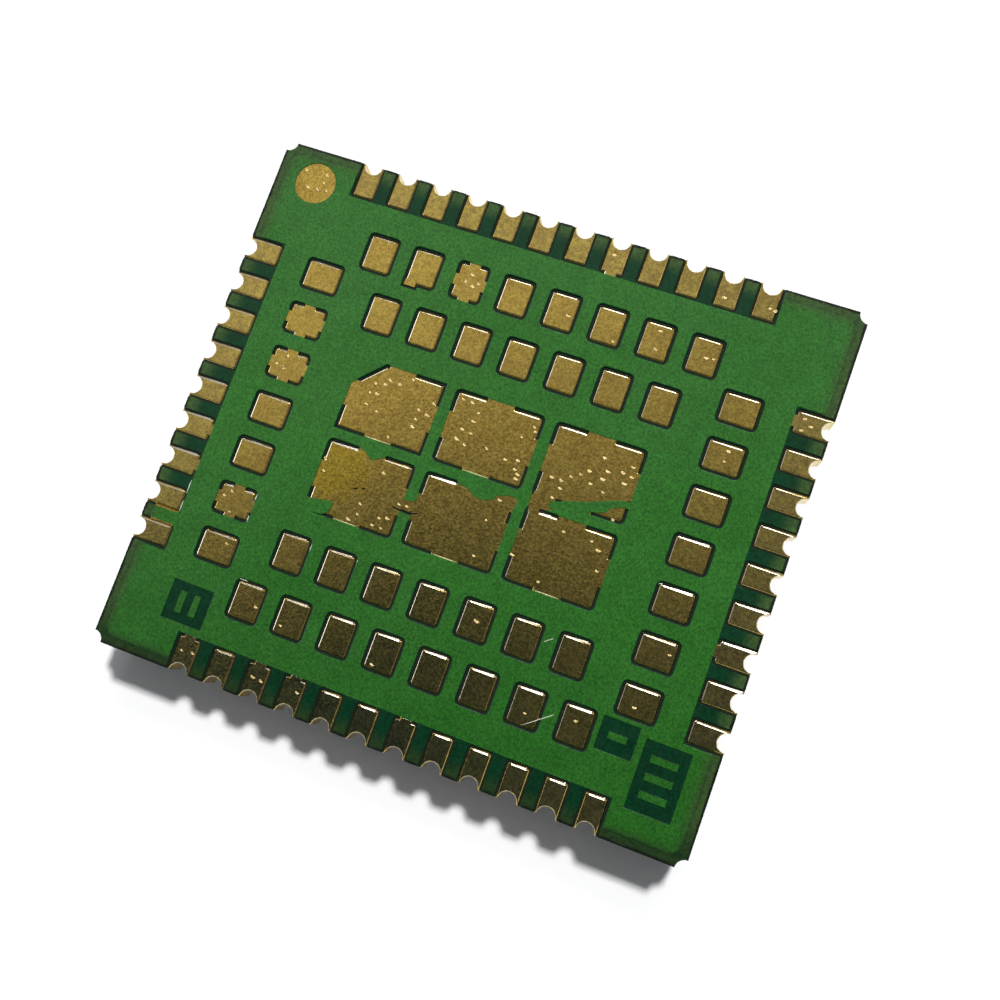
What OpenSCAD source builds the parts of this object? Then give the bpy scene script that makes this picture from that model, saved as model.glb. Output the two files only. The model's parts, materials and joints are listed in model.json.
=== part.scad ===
// Surface-mount cellular radio module, lying on its shield lid with the solder lands up.
// X runs along the long board edges, Y along the short ones and Z out of the land side.
// The origin is the centre of the lid's outer face.

/* [Board] */
// Length of the board along X
board_l = 17.6; // [17.2:0.1:20]
// Width of the board along Y
board_w = 15.7; // [15.4:0.1:18]
// Height from the lid's outer face to the outer face of the land mask
total_h = 2.3; // [2.25:0.05:2.8]
// Thickness of the laminate
laminate_t = 0.8; // [0.6:0.05:0.85]
// Thickness of the copper with its gold finish
copper_t = 0.035; // [0.025:0.005:0.05]
// Thickness of the solder mask over copper
mask_t = 0.02; // [0.01:0.005:0.04]
// How far the mask over the copper laps past the copper's edge
mask_lap = 0.02; // [0.005:0.005:0.03]
// Radius of the concave notch at each board corner
notch_r = 0.28; // [0.15:0.01:0.5]
// Sideways run of an etched copper edge
etch_run = 0.04; // [0.01:0.005:0.045]

/* [Edge contacts] */
// Pitch of the edge contacts
contact_pitch = 1.1; // [1:0.05:1.15]
// Contacts on the north edge and on the south edge
contacts_x = 12; // [8:2:12]
// Contacts on the west edge and on the east edge
contacts_y = 9; // [7:1:9]
// Width of a contact's land
contact_w = 0.64; // [0.62:0.01:0.7]
// Length of a contact's land on the land side
contact_l = 1.02; // [0.8:0.02:1.1]
// Length of a contact's land on the component side
contact_back_l = 0.6; // [0.45:0.05:0.65]
// Radius of the drilled half-hole
drill_r = 0.29; // [0.2:0.01:0.3]
// Thickness of the half-hole's plating
plating_t = 0.025; // [0.015:0.005:0.05]
// Corner radius of the lands
land_r = 0.08; // [0.05:0.01:0.15]

/* [Inner lands] */
// Pitch of the inner lands along their row
land_pitch = 1.4; // [1.3:0.05:1.45]
// Width of an inner land along its row
land_w = 0.84; // [0.7:0.02:0.9]
// Length of an inner land across its row
land_l = 1.04; // [0.8:0.02:1.1]
// Distance from the board edge to the nearest row of inner lands
land_inset = 2.5; // [2.3:0.05:2.55]
// Distance from the outer row to the inner row
row_pitch = 1.7; // [1.6:0.05:1.75]
// Lands in an outer row
outer_n = 8; // [6:2:8]
// Lands in an inner row
inner_n = 7; // [5:2:7]
// Lands in a side column
column_n = 7; // [5:2:7]
// Gap between a land and the ground plane
plane_gap = 0.1; // [0.07:0.01:0.12]
// Gap between a land and the edge of its mask opening
mask_gap = 0.055; // [0.03:0.005:0.065]
// Width of the ties that join a small land to the ground plane
spoke_w = 0.34; // [0.2:0.02:0.5]

/* [Ground lands] */
// Gap between two ground lands along X
ground_gap_x = 0.46; // [0.4:0.02:0.6]
// Gap between two ground lands along Y
ground_gap_y = 0.45; // [0.4:0.05:0.6]
// Distance from the lands of a side column to the ground lands
ground_clear_x = 1.51; // [1.3:0.01:1.8]
// Distance from the lands of an inner row to the ground lands
ground_clear_y = 0.855; // [0.7:0.005:1]
// Chamfer on the first ground land
index_chamfer = 0.78; // [0.5:0.02:1]
// Width of the ties that join a ground land to the ground plane
tie_w = 0.8; // [0.4:0.05:1.2]

/* [Ground plane] */
// Distance from the board edge to the ground plane
plane_inset = 0.3; // [0.2:0.02:0.4]
// Corner radius of the ground plane
plane_r = 0.3; // [0.15:0.01:0.5]
// Gap between the edge contacts and the ground plane
band_gap = 0.08; // [0.07:0.01:0.12]
// Diameter of the round corner mark
mark_d = 1.24; // [0.8:0.02:1.3]
// Distance of the corner mark's centre from the west edge
mark_inset_x = 1.24; // [1.1:0.02:1.3]
// Distance of the corner mark's centre from the north edge
mark_inset_y = 1.02; // [0.95:0.01:1.2]
// Width of the bars in the ground plane's windows
bar_w = 0.15; // [0.1:0.01:0.2]

/* [Shield] */
// Distance from the board edge to the lid's skirt
can_margin = 1; // [0.9:0.05:1.1]
// Sheet thickness of the lid
lid_t = 0.15; // [0.1:0.01:0.2]
// Sheet thickness of the frame
frame_t = 0.15; // [0.1:0.01:0.2]
// Inside bend radius of the lid
lid_bend = 0.12; // [0.08:0.01:0.16]
// Inside bend radius of the frame
frame_bend = 0.12; // [0.08:0.01:0.2]
// Gap between the lid's skirt and the frame
lid_gap = 0.03; // [0.02:0.005:0.05]
// Height of the lid's skirt
skirt_h = 0.9; // [0.8:0.02:1]
// Spring fingers along the north skirt and along the south skirt
fingers_x = 5; // [3:1:6]
// Spring fingers along the west skirt and along the east skirt
fingers_y = 4; // [3:1:5]
// Width of the slit between two fingers
slit_w = 0.25; // [0.15:0.01:0.4]
// Distance from the lid's outer face to the closed end of a slit
slit_root = 0.38; // [0.3:0.02:0.45]
// Radius of the dimple that snaps into the frame
dimple_r = 0.3; // [0.25:0.01:0.32]
// How far a dimple stands out of the skirt
dimple_h = 0.08; // [0.05:0.01:0.09]
// Clearance of a dimple in its catch hole
catch_gap = 0.04; // [0.02:0.01:0.06]
// Width of the frame's flange
flange_w = 0.75; // [0.5:0.05:1]
// Width of the frame's pick-up bar
pick_bar_w = 2.4; // [1.5:0.1:3.5]
// Width of the solder vents at the frame's foot
vent_w = 0.5; // [0.3:0.05:0.7]
// Height of the solder vents at the frame's foot
vent_h = 0.2; // [0.1:0.02:0.25]
// Width of the ground ring under the frame
ring_w = 0.45; // [0.3:0.05:0.55]

/* [Components] */
// Side of the processor
processor_w = 6.5; // [5.8:0.1:6.9]
// Height of the processor over its balls
processor_h = 0.58; // [0.4:0.02:0.6]
// Pitch of the processor's balls
ball_pitch = 0.6; // [0.5:0.02:0.62]
// Balls along each side of the processor
ball_n = 10; // [6:2:10]
// Radius of a ball
ball_r = 0.16; // [0.14:0.01:0.2]
// Height of a ball between its two pads
ball_h = 0.2; // [0.15:0.01:0.22]
// Length of the memory
memory_l = 3; // [2.4:0.1:3.2]
// Width of the memory
memory_w = 2; // [1.6:0.1:2.2]
// Side of the radio transceiver
radio_w = 4; // [3.4:0.1:4.2]
// Side of the power manager
manager_w = 3.4; // [3:0.1:3.7]
// Length of the power amplifier
amplifier_l = 4; // [3:0.1:4.2]
// Width of the power amplifier
amplifier_w = 3; // [2.4:0.1:3.1]
// Side of the antenna switch
switch_w = 1.8; // [1.4:0.1:2]
// Height of the moulded packages over their leads
package_h = 0.6; // [0.4:0.05:0.7]
// Thickness of the leads and of the lands under a package
lead_t = 0.04; // [0.02:0.01:0.06]
// Thickness of the substrate of the processor and of the amplifier
substrate_t = 0.2; // [0.1:0.02:0.3]
// Thickness of the metal lids on the oscillator, the crystal and the duplexers
cap_lid_t = 0.12; // [0.08:0.01:0.2]
// Length of an inductor
inductor_l = 2; // [1.6:0.1:2.2]
// Width of an inductor
inductor_w = 1.6; // [1.2:0.1:1.7]
// Height of an inductor
inductor_h = 0.8; // [0.5:0.05:0.85]
// Length of a bulk capacitor
bulk_l = 1.6; // [1.2:0.1:1.75]
// Width of a bulk capacitor
bulk_w = 0.8; // [0.6:0.1:0.9]
// Height of a bulk capacitor
bulk_h = 0.75; // [0.5:0.05:0.85]
// Length of a capacitor, twice its width and its height
capacitor_l = 1; // [0.8:0.05:1.1]
// Length of the smallest chips, twice their width
small_l = 0.6; // [0.4:0.05:0.65]
// Height of a resistor
resistor_h = 0.23; // [0.2:0.01:0.3]
// Length of a duplexer
duplexer_l = 1.8; // [1.4:0.1:1.9]
// Width of a duplexer
duplexer_w = 1.4; // [1.1:0.1:1.5]
// Height of a duplexer
duplexer_h = 0.5; // [0.4:0.05:0.7]
// Length of a filter
filter_l = 1.1; // [0.9:0.05:1.2]
// Width of a filter
filter_w = 0.9; // [0.7:0.05:1]
// Height of a filter
filter_h = 0.45; // [0.3:0.05:0.7]
// Length of the oscillator
oscillator_l = 2; // [1.6:0.1:2.1]
// Width of the oscillator
oscillator_w = 1.6; // [1.2:0.1:1.7]
// Height of the oscillator
oscillator_h = 0.6; // [0.4:0.05:0.7]
// Length of the crystal
crystal_l = 1.6; // [1.2:0.1:1.7]
// Width of the crystal
crystal_w = 1; // [0.8:0.05:1.1]
// Height of the crystal
crystal_h = 0.42; // [0.35:0.01:0.6]
// Thickness of a chip's terminals
terminal_t = 0.03; // [0.02:0.005:0.05]
// Pitch of the fine leads
lead_pitch = 0.4; // [0.35:0.01:0.42]
// Pitch of the wide leads
wide_pitch = 0.5; // [0.45:0.01:0.55]
// Length of a lead along the board
lead_l = 0.35; // [0.25:0.01:0.4]
// Lane between the west wall and the processor
lane_x = 0.9; // [0.8:0.05:1]
// Lane between the south wall and the processor
lane_y = 1.5; // [1.4:0.05:1.6]
// Gap between the smallest chips
small_gap = 0.15; // [0.1:0.01:0.2]
// Gap between neighbouring packages
part_gap = 0.4; // [0.3:0.05:0.45]
// Gap between the frame's wall and the nearest components
wall_gap = 0.2; // [0.1:0.05:0.25]

/* [Hidden] */
$fn = 48;

// Colours
gold = [0.72, 0.58, 0.30];
mask_green = [0.20, 0.42, 0.22];
laminate_green = [0.16, 0.20, 0.12];
sheet_grey = [0.74, 0.73, 0.70];
mould_black = [0.08, 0.08, 0.09];
solder_grey = [0.68, 0.69, 0.71];
ceramic_white = [0.86, 0.83, 0.76];
ceramic_tan = [0.62, 0.50, 0.36];

// Levels along Z, from the lid's outer face up
land_face = total_h - mask_t - copper_t;
component_face = land_face - laminate_t;
pad_face = component_face - copper_t;
bore_r = drill_r - plating_t;
corner_steps = 3;
through = 1;

// Places of the contact rows and land rows: turn about Z, distance from the centre, count
NORTH = 0;
WEST = 90;
SOUTH = 180;
EAST = 270;
outer_y = board_w / 2 - land_inset;
inner_y = outer_y - row_pitch;
column_x = board_l / 2 - land_inset;
row_end = ((outer_n - 1) * land_pitch + land_w) / 2;
column_end = ((column_n - 1) * land_pitch + land_w) / 2;
contacts_end = ((contacts_y - 1) * contact_pitch + contact_w) / 2;

// Ground lands, from the room between the rows and the columns of small lands
ground_w = 2 * (column_x - land_l / 2 - ground_clear_x - ground_gap_x) / 3;
ground_h = inner_y - land_l / 2 - ground_clear_y - ground_gap_y / 2;
ground_pitch_x = ground_w + ground_gap_x;
ground_pitch_y = ground_h + ground_gap_y;

// Contacts and lands that are tied to the ground plane, by their number along the row
ties_north = [7];
ties_west = [2, 3];
ties_south = [5, 8, 9, 11];
ties_east = [0, 6];
spokes_north_outer = [2];
spokes_west = [1, 4, 5];
eared_land = 1;
bridged_gap = 0;

// Windows in the ground plane: centre, width and height, from the lands, contacts and edges beside them
west_window_w = 1.3;
west_window_h = 1.18;
west_window_gap = 0.52;
west_window_inset = 1.27;
west_window = [
    -row_end - west_window_gap - west_window_w / 2, west_window_inset + west_window_h / 2 - board_w / 2,
    west_window_w, west_window_h,
];
middle_window_w = 1.08;
middle_window_h = 0.96;
middle_window_gap_x = 0.2;
middle_window_gap_y = 0.16;
middle_window = [
    row_end + middle_window_gap_x + middle_window_w / 2,
    -column_end - middle_window_gap_y - middle_window_h / 2, middle_window_w, middle_window_h,
];
east_window_w = 1.32;
east_window_h = 1.94;
east_window_inset = 0.71;
east_window_gap = 0.25;
east_window = [
    board_l / 2 - east_window_inset - east_window_w / 2,
    -contacts_end - east_window_gap - east_window_h / 2, east_window_w, east_window_h,
];

// Copper links across the gap round a ground land
link_long = 0.63;
link_short = 0.29;

// Flaws of the mask round the ground lands, as outlines about a corner or an edge of the land they touch
smear_on_third = [
    [0.47, -0.225], [0.57, -0.075], [0.97, 0.085], [1.52, 0.245], [1.97, 0.435], [2.37, 0.575],
    [2.72, 0.615], [2.72, 0.395], [2.47, 0.395], [2.22, 0.325], [2.12, 0.225], [2.02, 0.105],
    [1.82, 0.025], [1.63, -0.005], [1.63, -0.225],
];
bare_under_third = [
    [-0.04, 0.075], [0.57, -0.075], [0.47, -0.195], [0.62, -0.305], [0.42, -0.415], [0.27, -0.435],
    [0.27, -0.515], [-0.04, -0.515],
];
smear_on_fifth = [
    [-1.67, 0.115], [-1.65, -0.005], [-1.37, -0.045], [-1.22, -0.105], [-1.12, -0.195], [-0.92, -0.225],
    [-0.67, -0.175], [-0.52, -0.075], [-0.47, 0.115],
];
bare_over_fifth = [
    [-0.57, -0.125], [-0.42, 0.025], [-0.27, 0.105], [-0.12, 0.145], [0.03, 0.125], [0.12, 0.045],
    [0.07, -0.225], [-0.07, -0.225],
];
smear_on_fourth = [
    [-0.18, 0.305], [0.02, 0.295], [0.67, 0.405], [0.72, 0.325], [0.69, 0.075], [0.52, -0.035],
    [-0.18, -0.125],
];
dip_on_fourth = [
    [-0.38, 0.075], [-0.1, -0.075], [0, -0.185], [0.15, -0.125], [0.4, 0.025], [0.4, 0.075],
];
bare_after_fourth = [
    [-0.07, 0.06], [0.23, 0.12], [0.45, 0.15], [0.53, 0.06], [0.53, -0.14], [0.33, -0.22],
    [-0.12, -0.2],
];
scratch_after_fourth = [
    [-0.17, -0.18], [0.33, -0.2], [0.57, -0.11], [0.59, -0.16], [0.35, -0.27], [-0.17, -0.24],
];

// Room for the components inside the frame
frame_x = board_l / 2 - can_margin - lid_t - lid_gap;
frame_y = board_w / 2 - can_margin - lid_t - lid_gap;
room_x = frame_x - frame_t - wall_gap;
room_y = frame_y - frame_t - wall_gap;

// Share of their named sizes that the components keep, 1 where their rows fit into that room
need_x = lane_x + processor_w + radio_w + duplexer_l + 2.5 * part_gap;
need_y = lane_y + processor_w + max(manager_w, 2 * inductor_w + part_gap) + 1.5 * part_gap;
fit = min(1, 2 * room_x / need_x, 2 * room_y / need_y);
plan_x = room_x / fit;
plan_y = room_y / fit;

// Chip sizes: length, width, height, band of the terminals
terminal_share = 0.22;
inductor = [inductor_l, inductor_w, inductor_h, terminal_share * inductor_l];
bulk_capacitor = [bulk_l, bulk_w, bulk_h, terminal_share * bulk_l];
capacitor = [capacitor_l, capacitor_l / 2, capacitor_l / 2, terminal_share * capacitor_l];
small_capacitor = [small_l, small_l / 2, small_l / 2, terminal_share * small_l];
resistor = [small_l, small_l / 2, resistor_h, terminal_share * small_l];

// Sizes of the ceramic packages: length, width, height over the lands
duplexer = [duplexer_l, duplexer_w, duplexer_h];
filter = [filter_l, filter_w, filter_h];
oscillator = [oscillator_l, oscillator_w, oscillator_h];
crystal = [crystal_l, crystal_w, crystal_h];
lid_step = 0.1;

// Places of the components: x, y, turn about Z
processor_at = [lane_x - plan_x + processor_w / 2, lane_y - plan_y + processor_w / 2, 0];
processor_left = processor_at[0] - processor_w / 2;
processor_right = processor_at[0] + processor_w / 2;
processor_foot = processor_at[1] - processor_w / 2;
processor_top = processor_at[1] + processor_w / 2;
memory_at = [processor_left + memory_l / 2, processor_top + part_gap + memory_w / 2, 0];
memory_top = memory_at[1] + memory_w / 2;
manager_x = memory_at[0] + memory_l / 2 + part_gap + manager_w / 2;
amplifier_at = [plan_x - part_gap - amplifier_l / 2, part_gap - plan_y + amplifier_w / 2, 0];
amplifier_top = amplifier_at[1] + amplifier_w / 2;
radio_top = max(processor_top, amplifier_top + part_gap + radio_w);
radio_at = [processor_right + part_gap + radio_w / 2, radio_top - radio_w / 2, 0];
manager_at = [manager_x, radio_top + part_gap + manager_w / 2, 0];
inductor_x = manager_x + manager_w / 2 + part_gap + inductor_l / 2;
inductor_y = radio_top + part_gap + inductor_w / 2;
inductors_at = [for (i = [0, 1]) [inductor_x, inductor_y + i * (inductor_w + part_gap), 0]];
switch_x = inductor_x + inductor_l / 2 + part_gap + switch_w / 2;
switch_at = [switch_x, inductors_at[1][1], 0];
duplexer_x = plan_x - (part_gap + duplexer_l) / 2;
duplexer_y = amplifier_top + part_gap + duplexer_w / 2;
duplexers_at = [for (i = [0:2]) [duplexer_x, duplexer_y + i * (duplexer_w + part_gap), 0]];
duplexers_top = duplexers_at[2][1] + duplexer_w / 2;
filters_at = [
    [duplexer_x, duplexers_top + part_gap + filter_w / 2, 0],
    [switch_x, switch_at[1] - switch_w / 2 - part_gap - filter_w / 2, 0],
];
oscillator_x = processor_right + part_gap + oscillator_w / 2;
oscillator_at = [oscillator_x, radio_at[1] - radio_w / 2 - part_gap - oscillator_l / 2, 90];
crystal_at = [processor_right + part_gap + crystal_l / 2, (part_gap + crystal_w) / 2 - plan_y, 0];
bulk_x = (part_gap + bulk_l) / 2 - plan_x;
bulk_y = memory_top + 2 * small_gap + small_l / 2 + bulk_w / 2;
bulk_capacitors_at = [
    [bulk_x, bulk_y, 0], [bulk_x + bulk_l + part_gap, bulk_y, 0],
    [duplexer_x, filters_at[0][1] + filter_w / 2 + part_gap + bulk_l / 2, 90],
];
capacitor_pitch = processor_w / 9;
capacitors_at = [
    for (i = [0:8])
        [processor_left + (i + 0.5) * capacitor_pitch, (part_gap + capacitor_l) / 2 - plan_y, 90]
];
small_pitch = processor_w / 8;
small_capacitors_at = [
    for (i = [0:7]) [small_gap + small_l / 4 - plan_x, processor_foot + (i + 0.5) * small_pitch, 90]
];
resistors_at = [
    for (i = [0:3])
        [memory_at[0] + (i - 1.5) * (small_l + small_gap), memory_top + small_gap + small_l / 4, 0]
];

// Points of an arc about a centre
function arc(centre, r, start, end) = [
    for (i = [0:corner_steps])
        let (a = start + (end - start) * i / corner_steps) centre + r * [cos(a), sin(a)]
];

// Outline of a land about its centre
function land_outline(w, l, r) = concat(
    arc([w / 2 - r, l / 2 - r], r, 0, 90),
    arc([r - w / 2, l / 2 - r], r, 90, 180),
    arc([r - w / 2, r - l / 2], r, 180, 270),
    arc([w / 2 - r, r - l / 2], r, 270, 360)
);

// Outline of a contact's land, whose open end lies on the board edge
function contact_outline(w, l, r) = concat(
    [[w / 2, 0], [-w / 2, 0]],
    arc([r - w / 2, r - l], r, 180, 270),
    arc([w / 2 - r, r - l], r, 270, 360)
);

// Outline of the first ground land, with its chamfer
function index_outline(w, h, c) = [
    [w / 2, h / 2], [c - w / 2, h / 2], [-w / 2, h / 2 - c], [-w / 2, -h / 2], [w / 2, -h / 2],
];

// Outline of a ground land, grown by g on every side
function ground_outline(place, g) =
    place == [0, 0]
        ? index_outline(ground_w + 2 * g, ground_h + 2 * g, index_chamfer + (2 - sqrt(2)) * g)
        : land_outline(ground_w + 2 * g, ground_h + 2 * g, land_r + g);

// Centre of a ground land by its column and its row
function ground_at(place) = [(place[0] - 1) * ground_pitch_x, (0.5 - place[1]) * ground_pitch_y];
GROUND_PLACES = [for (row = [0, 1], column = [0:2]) [column, row]];

// Corner of a ground land, or the middle of one of its edges
function ground_edge(place, x, y) = ground_at(place) + [x * ground_w / 2, y * ground_h / 2];

// Prism with etched edges between two outlines that have as many points
module etched(base, top, t) {
    n = len(base);
    polyhedron(
        points = concat([for (p = base) [p[0], p[1], 0]], [for (p = top) [p[0], p[1], t]]),
        faces = concat(
            [[for (i = [0:n - 1]) i], [for (i = [n - 1:-1:0]) n + i]],
            [for (i = [0:n - 1]) let (j = (i + 1) % n) [i, n + i, n + j, j]]
        )
    );
}

// Row of children: each has +Y outwards, and $spot is its number along the row
module row(turn, distance, n, pitch) {
    rotate(turn)
        for (i = [0:n - 1]) {
            $spot = i;
            translate([(i - (n - 1) / 2) * pitch, distance]) children();
        }
}

module north_contacts() row(NORTH, board_w / 2, contacts_x, contact_pitch) children();
module west_contacts() row(WEST, board_l / 2, contacts_y, contact_pitch) children();
module south_contacts() row(SOUTH, board_w / 2, contacts_x, contact_pitch) children();
module east_contacts() row(EAST, board_l / 2, contacts_y, contact_pitch) children();
module all_contacts() {
    north_contacts() children();
    west_contacts() children();
    south_contacts() children();
    east_contacts() children();
}

module north_outer() row(NORTH, outer_y, outer_n, land_pitch) children();
module north_inner() row(NORTH, inner_y, inner_n, land_pitch) children();
module west_column() row(WEST, column_x, column_n, land_pitch) children();
module south_inner() row(SOUTH, inner_y, inner_n, land_pitch) children();
module south_outer() row(SOUTH, outer_y, outer_n, land_pitch) children();
module east_column() row(EAST, column_x, column_n, land_pitch) children();
module all_lands() {
    north_outer() children();
    north_inner() children();
    west_column() children();
    south_inner() children();
    south_outer() children();
    east_column() children();
}

module on_ground_lands() {
    for (place = GROUND_PLACES) {
        $place = place;
        translate(ground_at(place)) children();
    }
}

// Children that repeat only at the listed numbers of a row
module only(spots) {
    if (len(search($spot, spots)) > 0) children();
}

module board_outline() {
    difference() {
        square([board_l, board_w], center = true);
        for (x = [-1, 1], y = [-1, 1])
            translate([x * board_l / 2, y * board_w / 2]) circle(notch_r);
    }
}

// Cross-shaped ties of a small land, out to the ground plane
module spokes(grow = 0) {
    square([spoke_w + 2 * grow, land_l + 2 * plane_gap], center = true);
    square([land_w + 2 * plane_gap, spoke_w + 2 * grow], center = true);
}

// Tie at the inner end of a contact's land, out to the ground plane
module contact_tie(grow = 0) {
    translate([-spoke_w / 2 - grow, -contact_l - band_gap])
        square([spoke_w + 2 * grow, band_gap + 2 * etch_run]);
}

module all_small_ties(grow = 0) {
    north_outer() only(spokes_north_outer) spokes(grow);
    west_column() only(spokes_west) spokes(grow);
    north_contacts() only(ties_north) contact_tie(grow);
    west_contacts() only(ties_west) contact_tie(grow);
    south_contacts() only(ties_south) contact_tie(grow);
    east_contacts() only(ties_east) contact_tie(grow);
}

// Short spur at one corner of a land
module ear(grow = 0) {
    translate([-land_w / 2 - grow, -land_l / 2 - plane_gap - grow])
        square([spoke_w + 2 * grow, 2 * plane_gap + grow]);
}

// Copper that fills the gap between two ground-tied contacts of the west edge
module bridge_fill(grow = 0) {
    gap = contact_pitch - contact_w;
    west_contacts()
        only([bridged_gap])
            translate([contact_w / 2 - grow, -contact_l - band_gap])
                square([gap + 2 * grow, contact_l + band_gap - plane_inset + grow]);
}

// Ties in the middle of each side of a ground land
module ground_ties(grow = 0) {
    square([tie_w + 2 * grow, ground_h + 2 * plane_gap + 2 * etch_run], center = true);
    square([ground_w + 2 * plane_gap + 2 * etch_run, tie_w + 2 * grow], center = true);
}

// Copper across the gap round a ground land where the mask is missing
module ground_links(grow = 0) {
    across = plane_gap + 3 * etch_run;
    inside = 2 * etch_run;
    translate(ground_edge([2, 0], -1, -1))
        translate([-grow, inside - across]) square([link_long + 2 * grow, across]);
    translate(ground_edge([2, 1], -1, 1))
        translate([-grow, -inside]) square([link_short + 2 * grow, across]);
    translate(ground_edge([1, 1], 1, 1)) {
        translate([-link_long - grow, -inside]) square([link_long + plane_gap + grow, across]);
        translate([-inside, -link_short - grow]) square([across, link_short + plane_gap + grow]);
    }
}

module window(place, grow = 0) {
    translate([place[0], place[1]]) square([place[2] + 2 * grow, place[3] + 2 * grow], center = true);
}

// Plain bars, side by side in a window
module bars(place, n, turn, grow = 0) {
    across = turn == 0 ? place[2] : place[3];
    along = (turn == 0 ? place[3] : place[2]) - 4 * bar_w;
    translate([place[0], place[1]])
        rotate(turn)
            for (i = [1:n])
                translate([across * (i / (n + 1) - 0.5), 0])
                    square([bar_w + 2 * grow, along + 2 * grow], center = true);
}

module all_bars(grow = 0) {
    bars(west_window, 2, 0, grow);
    bars(middle_window, 1, 90, grow);
    bars(east_window, 3, 90, grow);
}

// Ground plane without the bodies of the ground lands, grown by the mask's lap where asked
module plane_outline(grow = 0) {
    sheet_x = board_l - 2 * plane_inset + 2 * grow;
    sheet_y = board_w - 2 * plane_inset + 2 * grow;
    band = contact_l + band_gap - grow;
    gap = plane_gap - grow;
    band_x = (contacts_x - 1) * contact_pitch + contact_w + 2 * gap;
    band_y = (contacts_y - 1) * contact_pitch + contact_w + 2 * gap;
    difference() {
        polygon(land_outline(sheet_x, sheet_y, plane_r + grow));
        for (side = [-1, 1]) {
            translate([0, side * board_w / 2]) square([band_x, 2 * band], center = true);
            translate([side * board_l / 2, 0]) square([2 * band, band_y], center = true);
        }
        all_lands() polygon(land_outline(land_w + 2 * gap, land_l + 2 * gap, land_r + gap));
        north_outer() only([eared_land]) ear(gap);
        on_ground_lands() polygon(ground_outline($place, gap));
        window(west_window, -grow);
        window(middle_window, -grow);
        window(east_window, -grow);
    }
}

module scratch() {
    translate(ground_edge([0, 1], 1, 0)) polygon(scratch_after_fourth);
}

// The ground plane with its ties
module ground_sheet(grow = 0) {
    plane_outline(grow);
    on_ground_lands() ground_ties(grow);
    bridge_fill(grow);
    ground_links(grow);
}

// All copper that is joined to the ground plane
module ground_copper(grow = 0) {
    difference() {
        union() {
            ground_sheet(grow);
            on_ground_lands() polygon(ground_outline($place, 0));
        }
        scratch();
    }
}

// Mask that has run over the edges of ground lands
module smears() {
    translate(ground_edge([2, 0], -1, -1)) polygon(smear_on_third);
    translate(ground_edge([1, 1], 1, 1)) polygon(smear_on_fifth);
    translate(ground_edge([0, 1], -1, -1)) polygon(smear_on_fourth);
    translate(ground_edge([0, 1], 0, 1)) polygon(dip_on_fourth);
}

// Mask opening round a contact's land, run out past the board edge
module contact_opening(l) {
    translate([0, drill_r])
        polygon(contact_outline(contact_w + 2 * mask_gap, l + drill_r + mask_gap, land_r + mask_gap));
}

// Openings of the land mask
module land_openings() {
    difference() {
        union() {
            all_lands()
                polygon(land_outline(land_w + 2 * mask_gap, land_l + 2 * mask_gap, land_r + mask_gap));
            north_outer() only([eared_land]) ear(mask_gap);
            all_contacts() contact_opening(contact_l);
            on_ground_lands() polygon(ground_outline($place, mask_gap));
            translate([mark_inset_x - board_l / 2, board_w / 2 - mark_inset_y]) circle(d = mark_d);
            translate(ground_edge([2, 0], -1, -1)) polygon(bare_under_third);
            translate(ground_edge([1, 1], 1, 1)) polygon(bare_over_fifth);
            translate(ground_edge([0, 1], 1, 0)) polygon(bare_after_fourth);
            scratch();
        }
        smears();
    }
}

module laminate() {
    color(laminate_green)
        translate([0, 0, component_face])
            linear_extrude(laminate_t)
                difference() {
                    board_outline();
                    all_contacts() circle(drill_r);
                }
}

module ground_plane() {
    color(gold)
        translate([0, 0, land_face])
            difference() {
                union() {
                    linear_extrude(copper_t) ground_sheet();
                    on_ground_lands()
                        etched(ground_outline($place, 0), ground_outline($place, -etch_run), copper_t);
                }
                translate([0, 0, -through]) linear_extrude(2 * through) scratch();
            }
}

module window_bars() {
    color(gold) translate([0, 0, land_face]) linear_extrude(copper_t) all_bars();
}

// Film of solder mask: level with the copper between copper, and a step higher over it
module land_mask() {
    color(mask_green)
        translate([0, 0, land_face]) {
            linear_extrude(copper_t)
                difference() {
                    board_outline();
                    land_openings();
                    ground_copper();
                    all_small_ties();
                    all_bars();
                }
            translate([0, 0, copper_t])
                linear_extrude(mask_t)
                    difference() {
                        union() {
                            ground_copper(mask_lap);
                            smears();
                            all_small_ties(mask_lap);
                            all_bars(mask_lap);
                        }
                        land_openings();
                    }
        }
}

// Etched land of an edge contact, whose open end lies on the board edge
module contact_land(l) {
    etched(
        contact_outline(contact_w, l, land_r),
        contact_outline(contact_w - 2 * etch_run, l - etch_run, land_r - etch_run),
        copper_t
    );
}

// Land, plated half-hole and back land of one edge contact, with +Y outwards
module contact(ties) {
    difference() {
        union() {
            contact_land(contact_l);
            only(ties) linear_extrude(copper_t) contact_tie();
            translate([0, 0, -laminate_t])
                linear_extrude(laminate_t)
                    intersection() {
                        circle(drill_r);
                        translate([-drill_r, -drill_r]) square([2 * drill_r, drill_r]);
                    }
            translate([0, 0, -laminate_t]) rotate([0, 180, 0]) contact_land(contact_back_l);
        }
        translate([0, 0, -laminate_t - through]) cylinder(r = bore_r, h = laminate_t + 2 * through);
    }
}

module contacts_north() color(gold) translate([0, 0, land_face]) north_contacts() contact(ties_north);
module contacts_west() color(gold) translate([0, 0, land_face]) west_contacts() contact(ties_west);
module contacts_south() color(gold) translate([0, 0, land_face]) south_contacts() contact(ties_south);
module contacts_east() color(gold) translate([0, 0, land_face]) east_contacts() contact(ties_east);

// One inner land, with the ties or the spur that it may have
module land(tied = [], eared = []) {
    etched(
        land_outline(land_w, land_l, land_r),
        land_outline(land_w - 2 * etch_run, land_l - 2 * etch_run, land_r - etch_run),
        copper_t
    );
    only(tied) linear_extrude(copper_t) spokes();
    only(eared) linear_extrude(copper_t) ear();
}

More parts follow.
